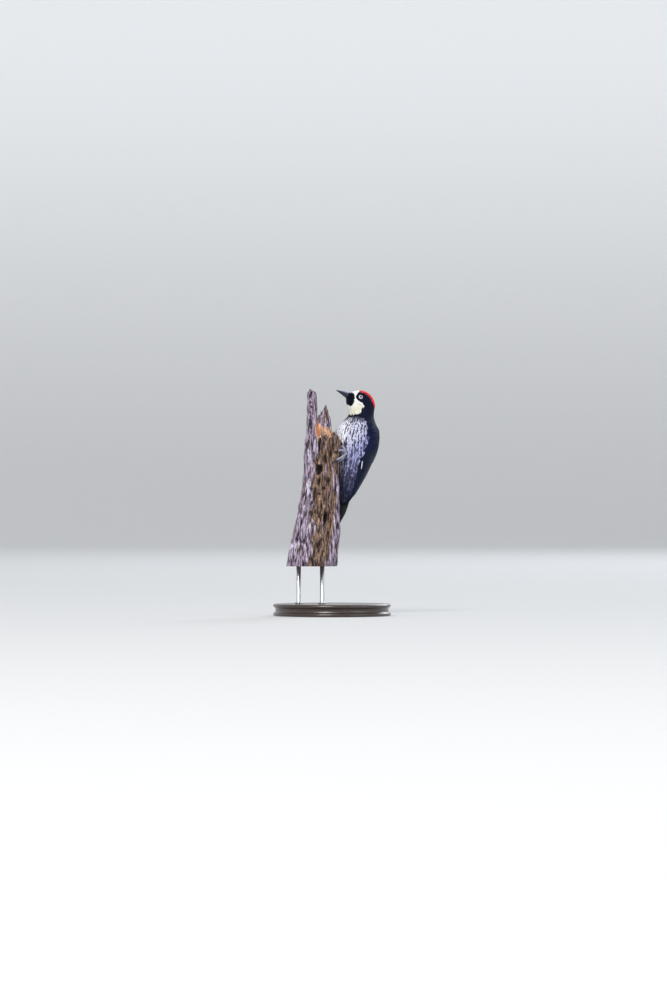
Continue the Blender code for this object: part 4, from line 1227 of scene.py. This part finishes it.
black_feather = feather_finish("black_plumage", contrast=0.5, Roughness=0.48, Specular_IOR_Level=0.15,
                               Specular_Tint=(0.50, 0.62, 1.0, 1.0))
pale_feather = feather_finish("pale_plumage", 40.0, 0.10, 0.22, Roughness=0.85, Specular_IOR_Level=0.15)
red_feather = feather_finish("red_plumage", contrast=0.35, Roughness=0.68, Specular_IOR_Level=0.2)
PLUMAGE = [black_feather, pale_feather, red_feather]
feather_draw = np.random.default_rng(FEATHER_SEED)
for part, (first_station, last_station) in COAT_PARTS.items():
    tracts = [tract for tract in TRACTS if first_station <= tract[0] < last_station]
    for number, tract in enumerate(tracts, 1):
        vanes, *looks = lay_tract(tract, feather_draw)
        coat = vane_mesh(f"{part}_{number}", vanes, PLUMAGE, *looks)
        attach(coat, "root")

# Each wing is folded flat against the body: a thin padded arm under small glossy coverts, one row of
# long coverts, then secondaries lying over the stacked primaries, all black but for a white patch.
COVERTS = (  # first and last station, spacing along and across, length, width, lift, rows and columns
    (10.15, 11.30, 2.5, 2.1, 5.6, 3.6, 0.45, 5, 4),
    (11.10, 12.30, 3.0, 2.5, 7.4, 4.4, 0.35, 5, 6),
    (12.05, 12.80, 3.9, 3.0, 9.6, 5.2, 0.25, 6, 6))
# A set of flight feathers: how many, then for the first (on the back) and the last (on the flank) the
# station and share of the root, and the station and share of the tip, then width and depth of layers.
FLIGHT = {
    "primaries": (10, (13.0, 0.42, 17.3, 0.20), (13.0, 0.93, 19.3, 0.66), 7.4, -0.45, -0.07, 0.65),
    "secondaries": (9, (12.75, 0.10, 15.7, 0.10), (12.75, 0.76, 17.0, 0.62), 8.2, 0.10, -0.06, 0.25),
    "long_coverts": (10, (12.3, 0.07, 14.0, 0.08), (12.3, 0.92, 14.4, 0.84), 6.4, 0.42, -0.03, 0.10),
    "white_edge": (1, (13.0, 0.93, 14.80, 0.885), (13.0, 0.93, 14.80, 0.885), 1.1, 1.10, 0.0, 0.40)}
VANE_COLUMNS = np.array((-1.0, -0.82, -0.62, -0.42, -0.32, -0.27, -0.22, -0.12, 0.15, 0.45, 0.75, 1.0))
VANE_ROWS = 26
ARM_END = 14.6  # the station where the padded arm ends
FLIGHT_INK = np.array((0.0042, 0.0060, 0.0185))


def flight_sheet(place, root, tip, width, lift, pointed):
    """One long vane: its shaft eases from root to tip over the surface, its half-width rises over the
    first fifth, thins towards the tip and closes there as part of an ellipse, with a few splits between the
    barbs, and its rachis stands up as a ridge."""
    a = (1 - (1 - np.linspace(0, 1, VANE_ROWS + 1)) ** 1.4)[:, None]
    b = VANE_COLUMNS[None]
    full = np.minimum(0.45 + 2.6 * a, 1.0) * (1 - 0.40 * pointed * eased((a - 0.35) / 0.6))
    start = 0.88 - 0.34 * pointed
    close = np.clip((a - start) / (1 - start), 0, 1)
    half = width / 2 * full * (1 - close ** 2.1) ** 0.72 + 0.03
    barbs = 0.05 * np.sin(9 * a + 7 * b + root[0] * 5) * np.abs(b) ** 3
    splits = 0.9 * np.clip(np.sin(43 * a + 60 * root[1]) - 0.72, 0, 1) * np.abs(b) ** 6
    u = root[0] + (tip[0] - root[0]) * (a - (0.02 + 0.015 * pointed) * np.abs(b + 0.1) ** 1.7 * a ** 6)
    v = root[1] + (tip[1] - root[1]) * (0.4 * a + 0.6 * eased(a)) + 0 * u
    scale = np.linalg.norm(across_surface(place, u, v)[1], axis=-1)
    v = v + (b * half * (1 + barbs - splits)) / np.maximum(scale, 1e-6)
    rachis = 0.20 * np.exp(-(((b + 0.27) / 0.05) ** 2)) * (1 - 0.75 * a)
    camber = 0.34 * (1 - (b + 0.1) ** 2) * full
    raised = lift - 0.9 * (1 - a) ** 2 + rachis + camber
    return place(u, v, raised), place(u, v, raised - 0.13), a + 0 * v, b + 0 * v


def worn_edges_and_shaft_sheen(b):
    """How much paler a flight feather is across its width: the rubbed edges, and a painted sheen along its
    rachis.
    """
    return 1 + 3.5 * np.clip((np.abs(b) - 0.80) / 0.2, 0, 1) + 1.6 * np.exp(-(((b + 0.27) / 0.03) ** 2))


def wing_arm(side, sign, finish):
    """The padded arm: an outer and an inner arc, closed at rounded edges, just under the coverts."""
    t = np.linspace(WING[0][0] + 0.1, ARM_END, 60)[:, None]
    share = 0.5 + np.linspace(-0.48, 0.48, 30)[None] * (1 - 0.5 * eased((t - 12.6) / 2.0))
    outer = wing_point(t, share, -1.15 - 1.2 * eased((t - 12.6) / 1.5), sign)
    upper, lower, _ = wing_row(t)
    inner = body_point(t, sign * (upper + (lower - upper) * share), 0.15)
    rings = np.concatenate((outer, inner[:, ::-1]), axis=1)
    made = lofted(f"wing_arm_{side}", rings if sign > 0 else rings[:, ::-1], [finish])
    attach(made, "root")


def cover_wing(side, sign, draw):
    """The small coverts of one wing, in staggered rows across it."""
    def place(t, share, above=0.0):
        return wing_point(t, share, above, sign)

    for number, (start, end, spacing, apart, length, width, lift, rows, columns) in enumerate(COVERTS, 1):
        roots_t, roots_share = [], []
        run = np.linalg.norm(place(end, 0.5) - place(start, 0.5))
        for row, t in enumerate(np.arange(start, end, (end - start) * spacing / 2 / run)):
            girth = np.linalg.norm(np.diff(place(t, np.linspace(0, 1, 20)), axis=0), axis=1).sum()
            count = max(int(girth / apart / 2), 2)
            share = (np.arange(count) + 0.25 + 0.5 * (row % 2)) / count
            roots_share.append(share + draw.uniform(-0.12, 0.12, count) / count)
            roots_t.append(t + draw.uniform(-0.05, 0.05, count))
        t, share = np.concatenate(roots_t), np.clip(np.concatenate(roots_share), 0.03, 0.97)
        count = len(t)
        lengths = length * draw.uniform(0.9, 1.1, count)
        along, across, a, b = vane_sheet(rows, columns, lengths, width * draw.uniform(0.9, 1.1, count), draw)
        vane_t, vane_share = laid(place, t, share, along, across, draw.normal(0, 0.05, count))
        vane_share = np.clip(vane_share, -0.03, 1.03)
        raised = lift - 1.3 * (1 - a) ** 1.2 + 0.035 * width * (1 - b ** 2) - 0.02 * width * b
        vanes = place(vane_t, vane_share, raised), place(vane_t, vane_share, raised - 0.15), a, b
        tone = draw.uniform(0.8, 1.25, count)[:, None]
        root_map = np.stack((0.05 + 0.9 * share, (t - 10) / 9), -1)
        made = vane_mesh(f"wing_coverts_{side}_{number}", vanes, [black_feather], WING_INK * tone, root_map,
                         flip=sign < 0)
        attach(made, "root")


def flight_set(name, side, sign, finish):
    """A stack of long feathers: each lies over the next one towards the flank."""
    count, first, last, width, lift, step, pointed = FLIGHT[name]

    def place(t, share, above=0.0):
        spare = 0.12 + 1.2 * eased((t - 15.5) / 3.0)  # near its tip the wing is narrower than its feathers
        return wing_point(t, np.clip(share, -spare, 1 + spare), above, sign)

    sheets = []
    for number in range(count):
        share = number / max(count - 1, 1)
        ends = np.array(first) + (np.array(last) - np.array(first)) * share
        if name == "primaries":
            outermost = np.clip((share - 0.60) / 0.40, 0, 1)
            ends[2] -= 1.9 * outermost ** 1.5
            ends[3] += 0.26 * outermost
        sheets.append(flight_sheet(place, ends[:2], ends[2:], width, lift + step * number, pointed))
    top, under, a, b = (np.array(part) for part in zip(*sheets))
    tone = 0.85 + 0.3 * ((np.arange(count) * 7) % 5) / 4
    colour = (FLIGHT_INK * tone[:, None])[:, None, None] * worn_edges_and_shaft_sheen(b)[..., None]
    if name == "white_edge":
        colour = blend(colour, RUMP_WHITE, eased((a - 0.52) / 0.06) * eased((0.84 - a) / 0.05))
    made = vane_mesh(f"{name}_{side}", (top, under, a, b), [finish], colour, flip=sign < 0)
    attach(made, "root")
    return made


flight_feather = feather_finish("flight_feather", 95.0, 0.55, 0.30, Roughness=0.42, Specular_IOR_Level=0.22,
                                Specular_Tint=(0.55, 0.66, 1.0, 1.0))
wing_arm_skin = mottled_finish("wing_arm", (1.0, 1.0, 0.3), 900.0, WING_INK * 0.6, WING_INK * 1.4, 0.4,
                               0.0002, Roughness=0.6)
wing_draw = np.random.default_rng(FEATHER_SEED + 1)
for side, sign in SIDES.items():
    wing_arm(side, sign, wing_arm_skin)
    cover_wing(side, sign, wing_draw)
    for name in FLIGHT:
        feathers = flight_set(name, side, sign, flight_feather)
        if name == "primaries":
            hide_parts("wing_" + side)

# The tail is a brace: ten stiff black feathers, folded, the middle pair uppermost and longest. Each has
# a stout shaft, its gloss a painted paler line, and ends in a worn point that is pressed towards the wood.
TAIL = (  # b, z, half-width and thickness
    (38.0, 156.9, 13.2, 3.2), (33.8, 147.0, 14.2, 2.9), (29.8, 136.0, 12.8, 2.5), (25.8, 126.0, 8.8, 2.1),
    (23.4, 119.0, 5.6, 1.8), (22.0, 113.6, 1.6, 1.4))
# Each tail feather from the middle out: its share of the half-width, where its tip lies, and its layer.
RECTRICES = (
    (0.15, 0.995, 0.0), (0.36, 0.90, 0.20), (0.55, 0.79, 0.40), (0.72, 0.68, 0.60), (0.86, 0.56, 0.80))
TAIL_INK = np.array((0.0024, 0.0026, 0.0050))


def tail_point(run, share, lift=0.0):
    """The tail's upper side: run goes from its root to its point, share from its middle to an edge, and its
    edges sag towards the wood."""
    run, share, lift = np.broadcast_arrays(np.asarray(run, float), share, lift)
    steps = len(TAIL) - 1
    row = through(TAIL, run.ravel() * steps).reshape(*run.shape, 4)
    inside = np.clip(run.ravel() * steps, 0.05, steps - 0.05)
    ahead = (through(TAIL, inside + 0.05) - through(TAIL, inside - 0.05))[:, :2].reshape(*run.shape, 2)
    out = np.stack((ahead[..., 1], -ahead[..., 0]), -1)
    out /= np.maximum(np.linalg.norm(out, axis=-1), 1e-9)[..., None]
    out *= -np.sign(out[..., :1])
    height = -row[..., 3] / 2 * np.sqrt(np.clip(1 - share ** 2, 0, 1)) * 0.8 - lift
    b = row[..., 0] + out[..., 0] * height - 1.2 * share ** 2
    return to_world(b, share * row[..., 2], row[..., 1] + out[..., 1] * height, np.zeros(run.shape))


def tail_feathers(side, sign, finish):
    """One side's stiff feathers: each outer one is shorter and narrower, and lies nearer the wood."""
    def place(run, aside, above=0.0):
        return tail_point(run, sign * np.clip(aside, -0.25, 1.0), above)

    sheets = [flight_sheet(place, (0.0, share), (tip, min(share * 1.1 + 0.02, 0.98)), 6.8 - 1.6 * layer,
                           0.2 - 1.3 * layer, 1.0) for share, tip, layer in RECTRICES]
    top, under, a, b = (np.array(part) for part in zip(*sheets))
    tone = 0.9 + 0.25 * (np.arange(len(RECTRICES)) % 2)
    colour = (TAIL_INK * tone[:, None])[:, None, None] * worn_edges_and_shaft_sheen(b)[..., None]
    made = vane_mesh(f"tail_feathers_{side}", (top, under, a, b), [finish], colour, flip=sign < 0)
    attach(made, "root")
    return made


tail_feather = feather_finish("tail_feather", 80.0, 0.5, 0.35, Roughness=0.46, Specular_IOR_Level=0.32)
tail_halves = {side: tail_feathers(side, sign, tail_feather) for side, sign in SIDES.items()}
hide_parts("tail")

# The bill is a straight chisel of slaty horn in two halves that meet along the gape. It is rooted under
# the face's feathers, with a keeled ridge, a groove that runs forward from the nostril, and a worn tip.
BILL = (  # ridge b, z | gape b, z | keel b, z | half-width, from base to tip
    (46.1, 295.9, 43.5, 291.5, 41.0, 288.4, 3.7), (41.8, 297.3, 39.6, 293.5, 37.9, 290.6, 3.2),
    (36.6, 298.4, 35.4, 295.5, 34.2, 293.3, 2.5), (31.6, 299.1, 31.2, 297.2, 30.6, 295.9, 1.65),
    (27.0, 299.3, 26.7, 298.6, 27.1, 298.0, 0.6))
GAPE = 0.16  # the narrow line between the closed halves
KEELED = 0.86  # the power of the sine that gives the bill's height over its width
BRISTLES = np.concatenate((np.linspace(4, 176, 70), np.linspace(12, 96, 60)))  # degrees down from the ridge


def horn_finish(name, low, high, rough, ridge=None):
    """Dark horn with fine scratches; where the mesh stores a ridge, a paler colour is painted there as a
    sheen.
    """
    finish, tree, shader = material(name, Roughness=rough, Specular_IOR_Level=0.4, Coat_Weight=0.1,
                                    Coat_Roughness=0.3)
    tone, _ = mottle(tree, (1.0, 1.0, 2.5), 420.0, low, high, 0.32, 0.70)
    if ridge:
        tone = mixed(tree, read(tree, "RidgeSheen"), tone, (*ridge, 1))
    scratch, relief = mottle(tree, (0.15, 0.15, 1.0), 3800.0, start=0.45, end=0.60)
    wire(tree, shader, {"Base Color": mixed(tree, 0.25, tone, scratch, "SOFT_LIGHT")})
    bumped(tree, shader, relief, 0.18, 0.0001)
    return finish


def bill_half(name, columns, finish):
    """Half ovals carried from under the feathers to the tip: the height goes as a sine to the power 0.86,
    and the sides are pinched in along the groove, as a Gaussian of the height, and at the nostril."""
    upper = name == "upper"
    rows = through(BILL, np.linspace(0, len(BILL) - 1, 72))
    rows = np.concatenate((rows[:1] + (rows[:1] - rows[6:7]) * 0.5, rows))
    opening = rows[:, 2:4]
    reach = rows[:, columns] - opening
    unit = reach / np.linalg.norm(reach, axis=1)[:, None]
    opening = opening + unit * GAPE / 2 * (1.02 - np.linspace(0, 1, len(rows)) ** 2)[:, None]
    reach = rows[:, columns] - opening
    angles = np.linspace(0, math.pi, 41)
    down = np.linspace(-1, 1, 13)[1:-1]
    rise = np.concatenate((np.sin(angles) ** KEELED, -0.06 * (1 - down ** 2)))[None]
    side = np.concatenate((np.cos(angles), down))[None]
    along = np.linspace(-0.08, 1, len(rows))[:, None]
    groove = 0.13 * np.exp(-(((rise - 0.52) / 0.13) ** 2)) * eased((0.62 - along) / 0.4) * (rise > 0)
    pit = 0.22 * np.exp(-(((rise - 0.5) / 0.12) ** 2) - ((along - 0.13) / 0.035) ** 2) * upper
    points = opening[:, None] + reach[:, None] * rise[..., None]
    side = side * (1 - groove - pit) * rows[:, 6:7]
    points = to_world(points[..., 0], side, points[..., 1], HEAD_TURN)
    # painted sheen: the upper half grows paler towards its ridge, less so near the tip
    ridge = eased((rise - 0.30) / 0.35) * upper * eased((along + 0.02) / 0.1)
    ridge = ridge * (1 - 0.4 * eased((along - 0.7) / 0.3))
    if not upper:
        points, ridge = points[:, ::-1], ridge[:, ::-1]
    made = lofted("bill_" + name, points, [finish], {"RidgeSheen": ridge})
    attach(made, "root")
    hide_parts(name + "_bill")


# the last colour is a painted sheen along the upper bill's ridge
slate = horn_finish("slaty_horn", (0.006, 0.007, 0.011), (0.020, 0.023, 0.036), 0.36, (0.20, 0.20, 0.34))
bill_half("upper", slice(0, 2), slate)
bill_half("lower", slice(4, 6), slate)


def bill_side(t, angle, lift):
    """The closed bill's outside at row t of its table, from the ridge at angle 0 to the keel at 180."""
    row = through(BILL, t.ravel()).reshape(*t.shape, 7)
    rise, side = np.cos(angle), np.sin(angle)
    reach = np.where((rise > 0)[..., None], row[..., 0:2], row[..., 4:6]) - row[..., 2:4]
    grown = 1 + lift / np.linalg.norm(reach, axis=-1)
    edge = row[..., 2:4] + reach * (np.abs(rise) ** KEELED * grown)[..., None]
    return to_world(edge[..., 0], side * (row[..., 6] + lift), edge[..., 1], HEAD_TURN)


def nasal_bristles():
    """Black bristles that start on the face and lie forward over the bill's base, most over the nostrils."""
    draw = np.random.default_rng(FEATHER_SEED + 2)
    angle = np.radians(BRISTLES)
    angle = np.concatenate((angle, -angle)) + draw.uniform(-0.03, 0.03, 2 * len(angle))
    count = len(angle)
    over_nostril = np.exp(-((np.degrees(np.abs(angle)) - 50) / 30) ** 2)
    reach = draw.uniform(0.25, 0.62, count) * (0.7 + 0.5 * over_nostril)
    a, b = np.linspace(0, 1, 5)[None, :, None], np.array((-1.0, 0.0, 1.0))[None, None]
    turn = angle[:, None, None] + b * (0.105 * (1 - a ** 1.6) + 0.004)
    root = body_point(0.30, turn, -0.25)
    on_bill = bill_side((reach[:, None, None] * a + 0.02) + 0 * turn, turn, 0.10 + 0.20 * (1 - a))
    top = root + (on_bill - root) * eased(a / 0.45)[..., None]
    middle = bill_side(np.full((1, 1, 1), 1.0), np.zeros((1, 1, 1)), -3.0)
    inward = (middle - top) / np.linalg.norm(middle - top, axis=-1)[..., None]
    root_map = np.stack((angle / (2 * math.pi) + 0.5, np.full(count, 0.015)), -1)
    vanes = top, top + inward * 0.06, a + 0 * turn, b + 0 * turn
    made = vane_mesh("nasal_bristles", vanes, [black_feather], np.tile(INK, (count, 1)), root_map, flip=True)
    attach(made, "root")


nasal_bristles()

# The feet grip with the two front toes up and out to the side and the two hind ones down. Shank and toes
# are grey skin under overlapping plates, padded against the wood, and end in long hooked claws of dark horn.
LEGS = {  # the knuckle, the shank's start inside the belly, and each toe's bend, end and claw tip
    "left": ((18.2, -12.0, 215.0), (21.4, -4.0, 211.0), (
        ((14.6, -10.6, 208.6), (9.8, -9.8, 203.8), (7.6, -9.6, 198.0)),
        ((16.8, -15.6, 220.4), (13.4, -17.0, 225.4), (11.6, -18.0, 231.0)),
        ((14.6, -19.0, 218.6), (8.4, -25.0, 218.8), (2.2, -29.0, 216.6)),
        ((14.4, -19.6, 211.0), (7.0, -27.0, 206.4), (0.4, -30.5, 202.6)))),
    "right": ((-3.0, 4.6, 219.0), (11.0, 10.5, 212.0), (
        ((-1.8, 1.4, 212.8), (0.0, -2.0, 208.0), (0.8, -4.6, 202.4)),
        ((-2.8, 1.8, 224.6), (-2.4, -1.4, 229.4), (-2.2, -2.4, 235.2)),
        ((-7.6, 2.2, 223.4), (-12.0, -0.4, 226.2), (-17.6, -1.4, 228.4)),
        ((-8.2, 2.2, 216.2), (-13.4, -0.2, 214.2), (-19.4, -2.2, 212.2)))),
}
TOE_RADIUS = 1.35
LEG_RADIUS = 1.55
CLAW_RADIUS = 1.15
TUBE_SIDES = 20
CLEAR = 0.35  # from the wood to what grips it
PLATE = 1.15  # length of one scale plate along a toe
TOE_END = 2.25  # in points of a toe's route
CLAW_START, CLAW_END = 2.05, 4.0
SHANK_FEATHERS = 90
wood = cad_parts["perch"]
wood_tree = BVHTree.FromPolygons([wood.matrix_world @ vertex.co for vertex in wood.data.vertices],
                                 [face.vertices[:] for face in wood.data.polygons])


def on_wood(point, clearance):
    """The point, moved so that it lies this far outside the nearest wood."""
    spot, normal, _, _ = wood_tree.find_nearest(Vector(point) * MM)
    return np.array(spot / MM + normal * clearance)


def toe_route(knuckle, toe):
    """The line that a toe and its claw share: from the knuckle over the bend down to the wood."""
    bend, end, tip = np.array(toe)
    near_end = on_wood(end, TOE_RADIUS + CLEAR + 0.2)
    over_tip = on_wood(end * 0.45 + tip * 0.55, CLAW_RADIUS + CLEAR)
    return np.array((knuckle + (bend - knuckle) * 0.2, bend, near_end, over_tip, on_wood(tip, CLEAR + 0.2)))


def tube_rings(points, radii, upwards):
    """Rings about a line, whose first point in each ring faces the upward direction as nearly as it can."""
    steps = np.gradient(points, axis=0)
    steps /= np.linalg.norm(steps, axis=1)[:, None]
    first = upwards - (upwards * steps).sum(1)[:, None] * steps
    first /= np.linalg.norm(first, axis=1)[:, None]
    second = np.cross(steps, first)
    angles = ring_angles(TUBE_SIDES)[:, None]
    spokes = first[:, None] * np.cos(angles) + second[:, None] * np.sin(angles)
    return points[:, None] + spokes * radii[..., None]


def plated(points, radius):
    """Radii of a scaly tube: on its upper half plates swell towards their free edge like a saw tooth, and
    its lower half has a few soft pads."""
    run = np.concatenate(((0.0,), np.cumsum(np.linalg.norm(np.diff(points, axis=0), axis=1))))[:, None]
    angles = ring_angles(TUBE_SIDES)[None]
    above = eased((np.cos(angles) + 0.25) / 0.7)
    tooth = (run / PLATE) % 1.0
    saw = tooth ** 1.5 * eased((1 - tooth) / 0.16)
    pads = np.clip(np.sin(run * 1.9), 0, 1) ** 0.7
    pebble = np.sin(run * 7.5 + 3 * np.cos(angles * 3)) * np.sin(angles * 7)
    return radius * (1 + 0.17 * above * (saw - 0.3) + (1 - above) * (0.10 * pads + 0.04 * pebble))


def foot_finish():
    """Grey skin, mottled, with dark seams between the plates where the mesh stores them."""
    finish, tree, shader = material("scaly_foot", Roughness=0.52, Coat_Weight=0.08, Coat_Roughness=0.4)
    tone, relief = mottle(tree, EVEN, 1500.0, (0.16, 0.155, 0.22), (0.50, 0.48, 0.62), 0.3, 0.68)
    wire(tree, shader, {"Base Color": mixed(tree, read(tree, "Seam"), tone, (0.05, 0.05, 0.05, 1))})
    bumped(tree, shader, relief, 0.35, 0.0001)
    return finish


def leg_tube(name, points, radius, upwards):
    """A plated tube of foot skin along a line, with a dark seam where its radius dips between plates."""
    radius = radius[:, None]
    radii = plated(points, radius)
    seam = np.clip((radius - radii) / radius * 14, 0, 0.8)
    made = lofted(name, tube_rings(points, radii, upwards), [foot_skin], {"Seam": seam})
    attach(made, "root")
    return made


def shank_feathers(side, start, knuckle, draw):
    """Short pale feathers that wrap the shank where it leaves the belly and thin out halfway down it."""
    axis = knuckle - start
    reach = np.linalg.norm(axis)
    axis = axis / reach
    first = np.cross(axis, (0.0, 0.0, 1.0))
    first /= np.linalg.norm(first)
    second = np.cross(axis, first)

    def place(run, turn, lift):
        ring = first * np.cos(turn)[..., None] + second * np.sin(turn)[..., None]
        return start + axis * (run * reach)[..., None] + ring * (LEG_RADIUS + 0.4 + lift)[..., None]

    run = draw.uniform(-0.45, 0.42, SHANK_FEATHERS)
    turn = draw.uniform(0, 2 * math.pi, SHANK_FEATHERS)
    length = draw.uniform(2.6, 4.0, SHANK_FEATHERS)
    along, across, a, b = vane_sheet(5, 4, length, draw.uniform(1.0, 1.5, SHANK_FEATHERS), draw)
    vane_run = run[:, None, None] + along / reach
    vane_turn = turn[:, None, None] + across / (LEG_RADIUS + 0.8)
    lift = (1.7 * (0.55 - run) ** 1.5)[:, None, None] * (0.4 + 0.6 * a) + 0.25 * a
    # painted shade: the thigh feathers take the belly's shaded colour, with black at random
    colour = blend(BELLY_PAINTED_SHADE, INK, draw.uniform(0, 0.8, SHANK_FEATHERS))
    root_map = np.stack((turn / (2 * math.pi), 0.5 + 0.4 * run), -1)
    vanes = place(vane_run, vane_turn, lift), place(vane_run, vane_turn, lift - 0.06), a, b
    made = vane_mesh("shank_feathers_" + side, vanes, [pale_feather], colour, root_map,
                     draw.uniform(0.1, 0.5, SHANK_FEATHERS))
    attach(made, "root")


def knuckle_pad(side, knuckle):
    """The lumpy ball where the toes meet."""
    polar = np.radians(np.linspace(4, 176, 30))[:, None]
    turn = ring_angles(32)[None]
    lump = TOE_RADIUS * 1.62 * (1 + 0.03 * np.sin(6 * turn) * np.sin(5 * polar))
    sphere = np.stack((lump * np.sin(polar) * np.cos(turn), lump * np.sin(polar) * np.sin(turn),
                       lump * np.cos(polar) + 0 * turn), -1)
    seamless = np.zeros(sphere.shape[:2])
    pad = lofted("knuckle_" + side, (knuckle + sphere)[::-1], [foot_skin], {"Seam": seamless})
    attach(pad, "root")


def outward(line):
    """Which way is off the wood at each point of a line."""
    return np.array([point - on_wood(point, -0.5) for point in line])


def toe_and_claw(name, route):
    """A toe that thickens at its joint, and a claw that narrows as its remaining share to the power 0.62."""
    run = np.linspace(0, TOE_END, 110)
    line = through(route, run)
    swell = 1.15 - 0.12 * run + 0.10 * np.exp(-(((run - 1) / 0.2) ** 2)) - 0.45 * eased((run - 1.95) / 0.3)
    leg_tube("toe_" + name, line, TOE_RADIUS * swell, outward(line))
    share = np.linspace(0, 1, 40)
    line = through(route, CLAW_START + (CLAW_END - CLAW_START) * share)
    girth = (CLAW_RADIUS * 1.02 * (1 - share) ** 0.62 + 0.10)[:, None]
    angles = ring_angles(TUBE_SIDES)[None]
    flat = 1 - 0.22 * np.abs(np.sin(angles)) - 0.10 * (np.cos(angles) < -0.4)
    claw = lofted("claw_horn_" + name, tube_rings(line, girth * flat, outward(line)), [claw_horn])
    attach(claw, "root")
    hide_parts("claw_" + name)


foot_skin = foot_finish()
claw_horn = horn_finish("claw_horn", (0.010, 0.010, 0.010), (0.050, 0.046, 0.043), 0.34)
leg_draw = np.random.default_rng(FEATHER_SEED + 3)
for side, (knuckle, start, toes) in LEGS.items():
    knuckle, start = np.array(knuckle), np.array(start)
    share = np.linspace(0, 1, 60)
    line = start + (knuckle - start) * share[:, None]
    shank = leg_tube("shank_" + side, line, LEG_RADIUS * (1 + 0.25 * share ** 4), (0.0, 0.0, 1.0) + 0 * line)
    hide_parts("leg_" + side)
    shank_feathers(side, start, knuckle, leg_draw)
    knuckle_pad(side, knuckle)
    for number, toe in enumerate(toes, 1):
        toe_and_claw(f"{side}_{number}", toe_route(knuckle, toe))
